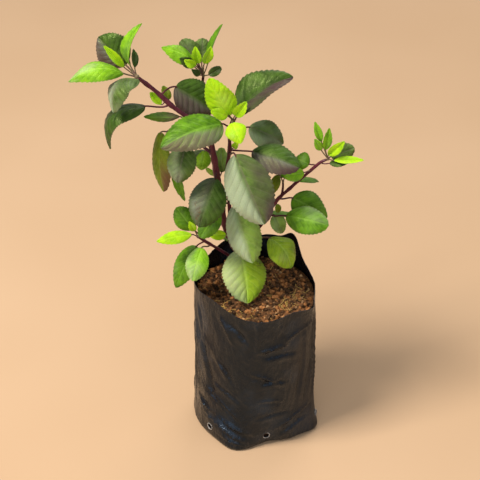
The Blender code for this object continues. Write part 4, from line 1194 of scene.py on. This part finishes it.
def make_crumbs(materials):
    """Loose crumbs on the compost, copied from a few shapes and joined by colour."""
    chance = random.Random(CRUMB_SEED)
    shapes = [crumb_shape(chance) for _ in range(CRUMB_SHAPES)]
    for kind, (count, smallest, largest) in CRUMBS.items():
        crumbs = []
        for _ in range(count):
            shape = chance.choice(shapes)
            crumbs.append(place_crumb(chance, shape, smallest, largest, materials[f"crumb_{kind}"]))
        first = crumbs[0]
        first.name = f"crumbs_{kind}"
        join_into(first, crumbs[1:])
        smooth(first, 50.0)
        show(first, "compost", "potting_soil")
    for shape in shapes:
        bpy.data.objects.remove(shape, do_unlink=True)


def straw_middle(chance, index):
    """Where a bit of straw lies, for the first bits in one of the heaps."""
    middle = soil_spot(chance)
    if index >= STRAW_IN_HEAPS:
        return middle
    near = STRAW_HEAPS[index % len(STRAW_HEAPS)]
    x = near[0] + chance.gauss(0.0, STRAW_SPREAD)
    y = near[1] + chance.gauss(0.0, STRAW_SPREAD)
    if math.hypot(x, y) < BAG_RADIUS - STRAW_OFF_WALL:
        middle = Vector((x, y, soil_height(x, y)))
    return middle


def straw_line(chance, middle):
    """Points of a bent bit of straw and its radii, thinner at both ends."""
    length = chance.uniform(*STRAW_LENGTH)
    heading = chance.uniform(0.0, 2.0 * math.pi)
    ahead = Vector((math.cos(heading), math.sin(heading), chance.uniform(*STRAW_TILT)))
    bow = Vector((-ahead.y, ahead.x, 0.3)) * chance.uniform(-STRAW_BOW, STRAW_BOW)
    path = []
    for step in range(STRAW_POINTS):
        share = step / (STRAW_POINTS - 1.0) - 0.5
        point = middle + ahead * length * share + bow * length * (0.25 - share * share)
        path.append(point + Vector((0.0, 0.0, STRAW_PROUD)))
    thick = chance.uniform(*STRAW_THICK)
    radii = [thick * (1.0 - abs(step / (STRAW_POINTS - 1.0) - 0.5)) for step in range(STRAW_POINTS)]
    return path, radii


def make_straw(materials):
    """Bent straw and husk bits scattered on the compost."""
    chance = random.Random(STRAW_SEED)
    bits = []
    for index in range(STRAW_COUNT):
        path, radii = straw_line(chance, straw_middle(chance, index))
        bit = make_tube(f"straw_{index}", path, radii, STRAW_SIDES)
        bit.data.materials.append(materials["straw"])
        bits.append(bit)
    straw = join_into(bits[0], bits[1:])
    straw.name = "straw_bits"
    smooth(straw, 50.0)
    show(straw, "compost", "potting_soil")


# Stems


def route_point(before, start, end, after, share):
    """Point on the smooth curve through four route points."""
    square = share * share
    cube = square * share
    return 0.5 * (2.0 * start + (end - before) * share
                  + (2.0 * before - 5.0 * start + 4.0 * end - after) * square
                  + (3.0 * start - before - 3.0 * end + after) * cube)


def stem_path(name):
    """Centre line of a stem as points about STEM_STEP apart."""
    route = [Vector(point) for point in STEMS[name].points]
    route = [2.0 * route[0] - route[1]] + route + [2.0 * route[-1] - route[-2]]
    path = []
    for index in range(1, len(route) - 2):
        span = (route[index + 1] - route[index]).length
        steps = max(1, round(span / STEM_STEP))
        for step in range(steps):
            path.append(route_point(*route[index - 1:index + 3], step / steps))
    path.append(route[-2])
    return path


def path_lengths(path):
    lengths = [0.0]
    for start, end in zip(path, path[1:]):
        lengths.append(lengths[-1] + (end - start).length)
    return lengths


def stem_radius(name, share):
    stem = STEMS[name]
    return stem.foot_radius + (stem.tip_radius - stem.foot_radius) * share


def nearest_on_stem(name, foot):
    """Closest point of a stem's centre line, its distance along it, its radius and its run."""
    path = stem_path(name)
    lengths = path_lengths(path)
    foot = Vector(foot)
    best = None
    for index in range(len(path) - 1):
        run = path[index + 1] - path[index]
        share = clamp((foot - path[index]).dot(run) / run.length_squared)
        point = path[index] + run * share
        away = (foot - point).length
        if best is None or away < best[0]:
            best = (away, point, lengths[index] + run.length * share, run.normalized())
    _, point, along, run = best
    return point, along, stem_radius(name, along / lengths[-1]), run


def make_tube(name, path, radii, sides, corner=0.0):
    """Tube along a path; corner makes its section squarish, as on a young stem."""
    tube = ringed_cylinder(name, sides, len(path))
    frames = []
    upright = Vector(FIRST_UPRIGHT)
    for index, point in enumerate(path):
        run = (path[min(index + 1, len(path) - 1)] - path[max(index - 1, 0)]).normalized()
        upright = (upright - run * upright.dot(run)).normalized()
        frames.append((point, upright.copy(), run.cross(upright)))
    for vertex in tube.data.vertices:
        ring = ring_of(vertex, len(path))
        angle = math.atan2(vertex.co.y, vertex.co.x)
        point, first, second = frames[ring]
        radius = radii[ring] * (1.0 + corner * math.cos(4.0 * angle))
        vertex.co = (point + (first * math.cos(angle) + second * math.sin(angle)) * radius) * MM
    return tube


def stem_tube(name, swellings):
    """One stem as a tube that swells where its leaves join, and the main one with its buried end."""
    path = stem_path(name)
    lengths = path_lengths(path)
    radii = []
    for along in lengths:
        swell = sum(math.exp(-(((along - node) / STEM_SWELL_LENGTH) ** 2)) for node in swellings)
        radii.append(stem_radius(name, along / lengths[-1]) * (1.0 + STEM_SWELL * min(1.0, swell)))
    if name == "main":
        path.insert(0, Vector(ROOT_END))
        radii.insert(0, STEMS[name].foot_radius)
    return make_tube(f"stem_{name}", path, radii, STEM_SIDES, STEM_CORNER)


def make_stems(materials):
    """All stems as one grown piece, thicker where leaves join."""
    swellings = {name: [] for name in STEMS}
    for leaf in LEAVES:
        swellings[leaf.stem].append(nearest_on_stem(leaf.stem, leaf.foot)[1])
    tubes = [stem_tube(name, swellings[name]) for name in STEMS]
    for tube in tubes[1:]:
        union = tubes[0].modifiers.new("grow_together", "BOOLEAN")
        union.operation = "UNION"
        union.object = tube
        union.solver = "MANIFOLD"
        apply_modifier(tubes[0], union)
        bpy.data.objects.remove(tube, do_unlink=True)
    stems = tubes[0]
    stems.name = "stems"
    stems.data.materials.clear()
    stems.data.materials.append(materials["stem"])
    smooth(stems, 50.0)
    show(stems, "stem_purple", "branched_stem")


# Leaves


def curve_point(points, share):
    """Point and direction on the curve from the first to the last point that bends to the others."""
    work = list(points)
    while len(work) > 2:
        work = [a.lerp(b, share) for a, b in zip(work, work[1:])]
    return work[0].lerp(work[1], share), (work[1] - work[0]).normalized()


def square_to(direction, face):
    """Part of the facing direction that is square to the midrib."""
    return (face - direction * face.dot(direction)).normalized()


def blade_curve(leaf):
    """Base, bend and tip of the midrib."""
    base = Vector(leaf.base)
    tip = Vector(leaf.tip)
    along = (tip - base).normalized()
    bend = base.lerp(tip, 0.5) + square_to(along, Vector(leaf.face).normalized()) * 2.0 * leaf.arch
    return base, bend, tip


def leaf_half_width(leaf, along):
    """Half the blade's width at a share of its length."""
    widest, blunt = FORMS[leaf.form]
    swell = max(0.0, math.sin(math.pi * along ** widest))
    return max(TIP_HALF, 0.5 * leaf.width * swell ** blunt)


def count_for(leaf, counts):
    """The count that goes with the blade's width."""
    return next(count for width, count in counts if leaf.width >= width)


def saw_tooth(share, teeth):
    """Height of the margin's tooth: a long rise and a short drop towards the tip."""
    phase = (share * teeth) % 1.0
    height = phase / TOOTH_PEAK if phase < TOOTH_PEAK else (1.0 - phase) / (1.0 - TOOTH_PEAK)
    return height * ease(share / TOOTH_FADE[0]) * ease((1.0 - share) / TOOTH_FADE[1])


def vein_puff(across, share):
    """Swelling of the blade between its side veins, 0 on a vein and 1 between two."""
    phase = ((share - VEIN_SLOPE * abs(across)) * SIDE_VEINS) % 1.0
    return (0.5 - 0.5 * math.cos(2.0 * math.pi * phase)) ** VEIN_SHARP


def blade_lift(leaf, half, across, share):
    """How far the blade rises off its midrib plane."""
    away = abs(across)
    lift = QUILT * half * (1.0 - (2.0 * away - 1.0) ** 2)
    lift += WAVE * half * away * math.sin(WAVE_ALONG * share + WAVE_ACROSS * across)
    relief = VEIN_RELIEF * leaf.width * ease(share / VEINS_RISE_BY)
    lift += relief * vein_puff(across, share) * math.sin(math.pi * min(1.0, away * VEINS_PAST_EDGE))
    lift -= MIDRIB_FURROW * relief * math.exp(-((away / MIDRIB_FURROW_WIDTH) ** 2))
    seed = sum(leaf.base) * COCKLE_SEED
    place = Vector((COCKLE_CELLS[0] * across, COCKLE_CELLS[1] * share, seed))
    return lift + COCKLE * leaf.width * away * noise.noise(place)


def wash_at(wash, across, share, seed):
    """Strength of a colour wash at one place of the blade."""
    cloud = noise.noise(Vector((WASH_CELLS[0] * across, WASH_CELLS[1] * share, seed)))
    side = math.tanh(MIDRIB_SPLIT * across)
    return ease(wash.level + wash.across * side + wash.along * (2.0 * share - 1.0) + WASH_CLOUD * cloud)


def spot_at(spots, across, share):
    """Strength of the brown spots at one place of the blade."""
    strength = 0.0
    for spot in spots:
        away = math.hypot(across - spot.across, (share - spot.along) * SPOT_SHORTER) / spot.size
        strength = max(strength, math.exp(-away * away))
    return strength


def wash_of(washes, leaf):
    """The leaf's own wash, or a faint one for its tone."""
    return washes.get(leaf.name, Wash(FAINT_WASH.get(leaf.tone, 0.0), 0.0, 0.0))


def blade_point(leaf, teeth, across, share):
    """Point of the blade: off its arched midrib, folded, lifted and toothed."""
    point, direction = curve_point(blade_curve(leaf), share)
    normal = square_to(direction, Vector(leaf.face).normalized())
    side = direction.cross(normal)
    fold = math.radians(leaf.fold)
    half = leaf_half_width(leaf, share)
    edge = abs(across) ** TOOTH_EDGE
    tooth = saw_tooth(share, teeth) * edge
    wide = half * (1.0 + TOOTH_DEPTH * (tooth - 0.5 * edge))
    reach = abs(across) * wide
    lean = TOOTH_LEAN * (Vector(leaf.tip) - Vector(leaf.base)).length / teeth * tooth
    lift = reach * math.sin(fold) + blade_lift(leaf, half, across, share)
    offset = side * math.copysign(reach * math.cos(fold), across) + normal * lift
    return point + offset + direction * lean


def paint_blade(leaf, mesh, places):
    """Store the strengths of the blade's purple flush, which is partly painted shade, its painted sheen
    and its spots at its points.
    """
    purple = wash_of(PURPLE_AND_SHADE, leaf)
    bloom = wash_of(PAINTED_SHEEN, leaf)
    spots = SPOTS.get(leaf.name, ())
    seed = sum(leaf.tip) * WASH_SEED
    strengths = {
        "purple": [wash_at(purple, *place, seed) for place in places],
        "bloom": [wash_at(bloom, *place, seed + PAINTED_SHEEN_APART) for place in places],
        "spot": [spot_at(spots, *place) for place in places],
    }
    for name, numbers in strengths.items():
        mesh.attributes.new(name, "FLOAT", "POINT").data.foreach_set("value", numbers)


def make_blade(leaf, name, materials):
    """Toothed blade with folds, swellings between its veins and its colour washes."""
    teeth = count_for(leaf, TOOTH_COUNTS)
    bpy.ops.mesh.primitive_grid_add(x_subdivisions=count_for(leaf, STRIP_COUNTS),
                                    y_subdivisions=teeth * ROWS_PER_TOOTH, size=2.0)
    blade = take_primitive(name)
    mesh = blade.data
    places = [(vertex.co.x, clamp((vertex.co.y + 1.0) * 0.5)) for vertex in mesh.vertices]
    for vertex, (across, share) in zip(mesh.vertices, places):
        vertex.co = blade_point(leaf, teeth, across, share) * MM
    paint_blade(leaf, mesh, places)
    mesh.materials.append(materials[f"upper_{leaf.tone}"])
    mesh.materials.append(materials[f"under_{leaf.tone}"])
    skin = blade.modifiers.new("blade_thickness", "SOLIDIFY")
    skin.thickness = BLADE_THICK * MM
    skin.offset = -1.0
    skin.material_offset = 1
    apply_modifier(blade, skin)
    return blade


def stalk_line(leaf, start, out):
    """Petiole and midrib as one line of points with its radii."""
    curve = blade_curve(leaf)
    base = curve[0]
    length = (base - start).length
    heading = (curve_point(curve, 0.0)[1] + (base - start).normalized()).normalized()
    reach = length * PETIOLE_BEND
    petiole = (start, start + out * reach, base - heading * reach, base)
    face = Vector(leaf.face).normalized()
    size = min(1.0, PETIOLE_LEAST + leaf.width / PETIOLE_GROWTH)
    radius = PETIOLE_RADIUS * size
    steps = max(4, round(length / PETIOLE_STEP))
    path = []
    radii = []
    for step in range(steps):
        share = step / steps
        path.append(curve_point(petiole, share)[0])
        radii.append(radius * (1.0 + PETIOLE_FLARE * math.exp(-share * PETIOLE_FLARE_FADE)))
    for step in range(MIDRIB_STEPS + 1):
        share = MIDRIB_END * step / MIDRIB_STEPS
        point, direction = curve_point(curve, share)
        thin = radius * (1.0 - MIDRIB_THINS * share)
        furrow = MIDRIB_FURROW * VEIN_RELIEF * leaf.width
        sink = (BLADE_THICK + MIDRIB_SUNK * thin + furrow) * ease(share / MIDRIB_SINKS_BY)
        path.append(point - square_to(direction, face) * sink)
        radii.append(thin)
    return path, radii


def make_leaf(leaf, name, start, out, materials, stalk):
    """Blade, petiole and midrib in one piece."""
    blade = make_blade(leaf, name, materials)
    path, radii = stalk_line(leaf, start, out)
    tube = make_tube(f"{name}_stalk", path, radii, PETIOLE_SIDES)
    tube.data.materials.append(materials[stalk])
    join_into(blade, [tube])
    smooth(blade, 55.0)
    return blade


def petiole_start(leaf):
    """Where a grown leaf's petiole grows out of its stem, and which way it heads."""
    foot, _, radius, run = nearest_on_stem(leaf.stem, leaf.foot)
    reach = Vector(leaf.base) - foot
    sideways = (reach - run * reach.dot(run)).normalized()
    out = (sideways + PETIOLE_ASIDE * reach.normalized()).normalized()
    return foot + sideways * radius * PETIOLE_SUNK, out


def make_grown_leaves(materials):
    """Every grown leaf, in place of its own node."""
    for leaf in LEAVES:
        start, out = petiole_start(leaf)
        stalk = "green_stalk" if leaf.tone in YOUNG_TONES else "stem"
        piece = make_leaf(leaf, f"{leaf.name}_grown", start, out, materials, stalk)
        show(piece, f"leaf_{leaf.tone}", leaf.name)


def make_shoot_tips(materials):
    """The young leaves of each shoot round a small bud, in place of the tip's node."""
    for node, leaves in SHOOT_TIPS.items():
        stem = STEMS[leaves[0].stem]
        path = stem_path(leaves[0].stem)
        onward = (path[-1] - path[-2]).normalized()
        radius = stem.tip_radius * BUD_SWELL
        centre = path[-1] + onward * radius
        for leaf in leaves:
            out = (Vector(leaf.base) - centre).normalized()
            piece = make_leaf(leaf, f"{node}_{leaf.name}", centre, out, materials, "green_stalk")
            show(piece, f"leaf_{leaf.tone}", node)
        bpy.ops.mesh.primitive_ico_sphere_add(subdivisions=3, radius=radius * MM, location=centre * MM)
        bud = settle(take_primitive(f"{node}_bud"))
        bud.data.materials.append(materials["green_stalk"])
        smooth(bud)
        show(bud, f"leaf_{leaves[0].tone}", node)


# Studio


def make_studio():
    """Plain pale floor, soft lights and an even sky."""
    bpy.ops.mesh.primitive_plane_add(size=FLOOR_SIZE)
    floor = take_primitive("studio_floor")
    material, tree, shader = make_material("studio_floor")
    shade = grain(tree, 3.0, 2.0)
    colour = mix_colour(tree, remap(tree, shade, 0.2, 0.8), *FLOOR_COLOURS)
    tree.links.new(colour, shader.inputs["Base Color"])
    set_sockets(shader, {"Roughness": 0.9})
    floor.data.materials.append(material)
    for name, light in LIGHTS.items():
        add_area_light(name, light)
    world = bpy.data.worlds.new("studio_world")
    world.use_nodes = True
    background = world.node_tree.nodes["Background"]
    set_sockets(background, {"Color": WORLD_COLOUR, "Strength": WORLD_STRENGTH})
    bpy.context.scene.world = world
    bpy.context.scene.view_settings.view_transform = "Standard"


def add_area_light(name, light):
    """Soft light aimed at the middle of the plant."""
    data = bpy.data.lights.new(name, "AREA")
    data.size = light.size
    data.energy = light.power
    data.color = light.colour
    lamp = bpy.data.objects.new(name, data)
    bpy.context.scene.collection.objects.link(lamp)
    lamp.location = light.place
    aim = Vector(LIGHT_AIM) - Vector(light.place)
    lamp.rotation_euler = aim.to_track_quat("-Z", "Y").to_euler()


def make_camera():
    """Camera at the photo's angle."""
    data = bpy.data.cameras.new("camera")
    data.sensor_width = SENSOR
    data.lens = CAMERA_LENS
    camera = bpy.data.objects.new("camera", data)
    bpy.context.scene.collection.objects.link(camera)
    camera.location = CAMERA_PLACE
    camera.rotation_euler = (math.radians(CAMERA_TURN), 0.0, 0.0)
    bpy.context.scene.camera = camera


def make_materials():
    """Every finish of the plant and its bag, by a short name."""
    build_vein_group()
    materials = {"film": film_material(), "lip": lip_material()}
    for name, colours in COMPOSTS.items():
        materials[name] = compost_material(name, *colours)
    materials["straw"] = straw_material()
    materials["stem"] = stem_material("stem_purple", *STEM_PURPLE)
    materials["green_stalk"] = stem_material("young_stalk", *YOUNG_STALK)
    for name in TONES:
        materials[f"upper_{name}"] = blade_upper_material(name)
        materials[f"under_{name}"] = blade_under_material(name)
    return materials


def clear_start_scene():
    """Remove the start file's own cube, light and camera."""
    for obj in list(bpy.data.objects):
        bpy.data.objects.remove(obj, do_unlink=True)


clear_start_scene()
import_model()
deselect_all()
finishes = make_materials()
make_bag(finishes)
make_soil(finishes)
make_stems(finishes)
make_grown_leaves(finishes)
make_shoot_tips(finishes)
make_studio()
make_camera()
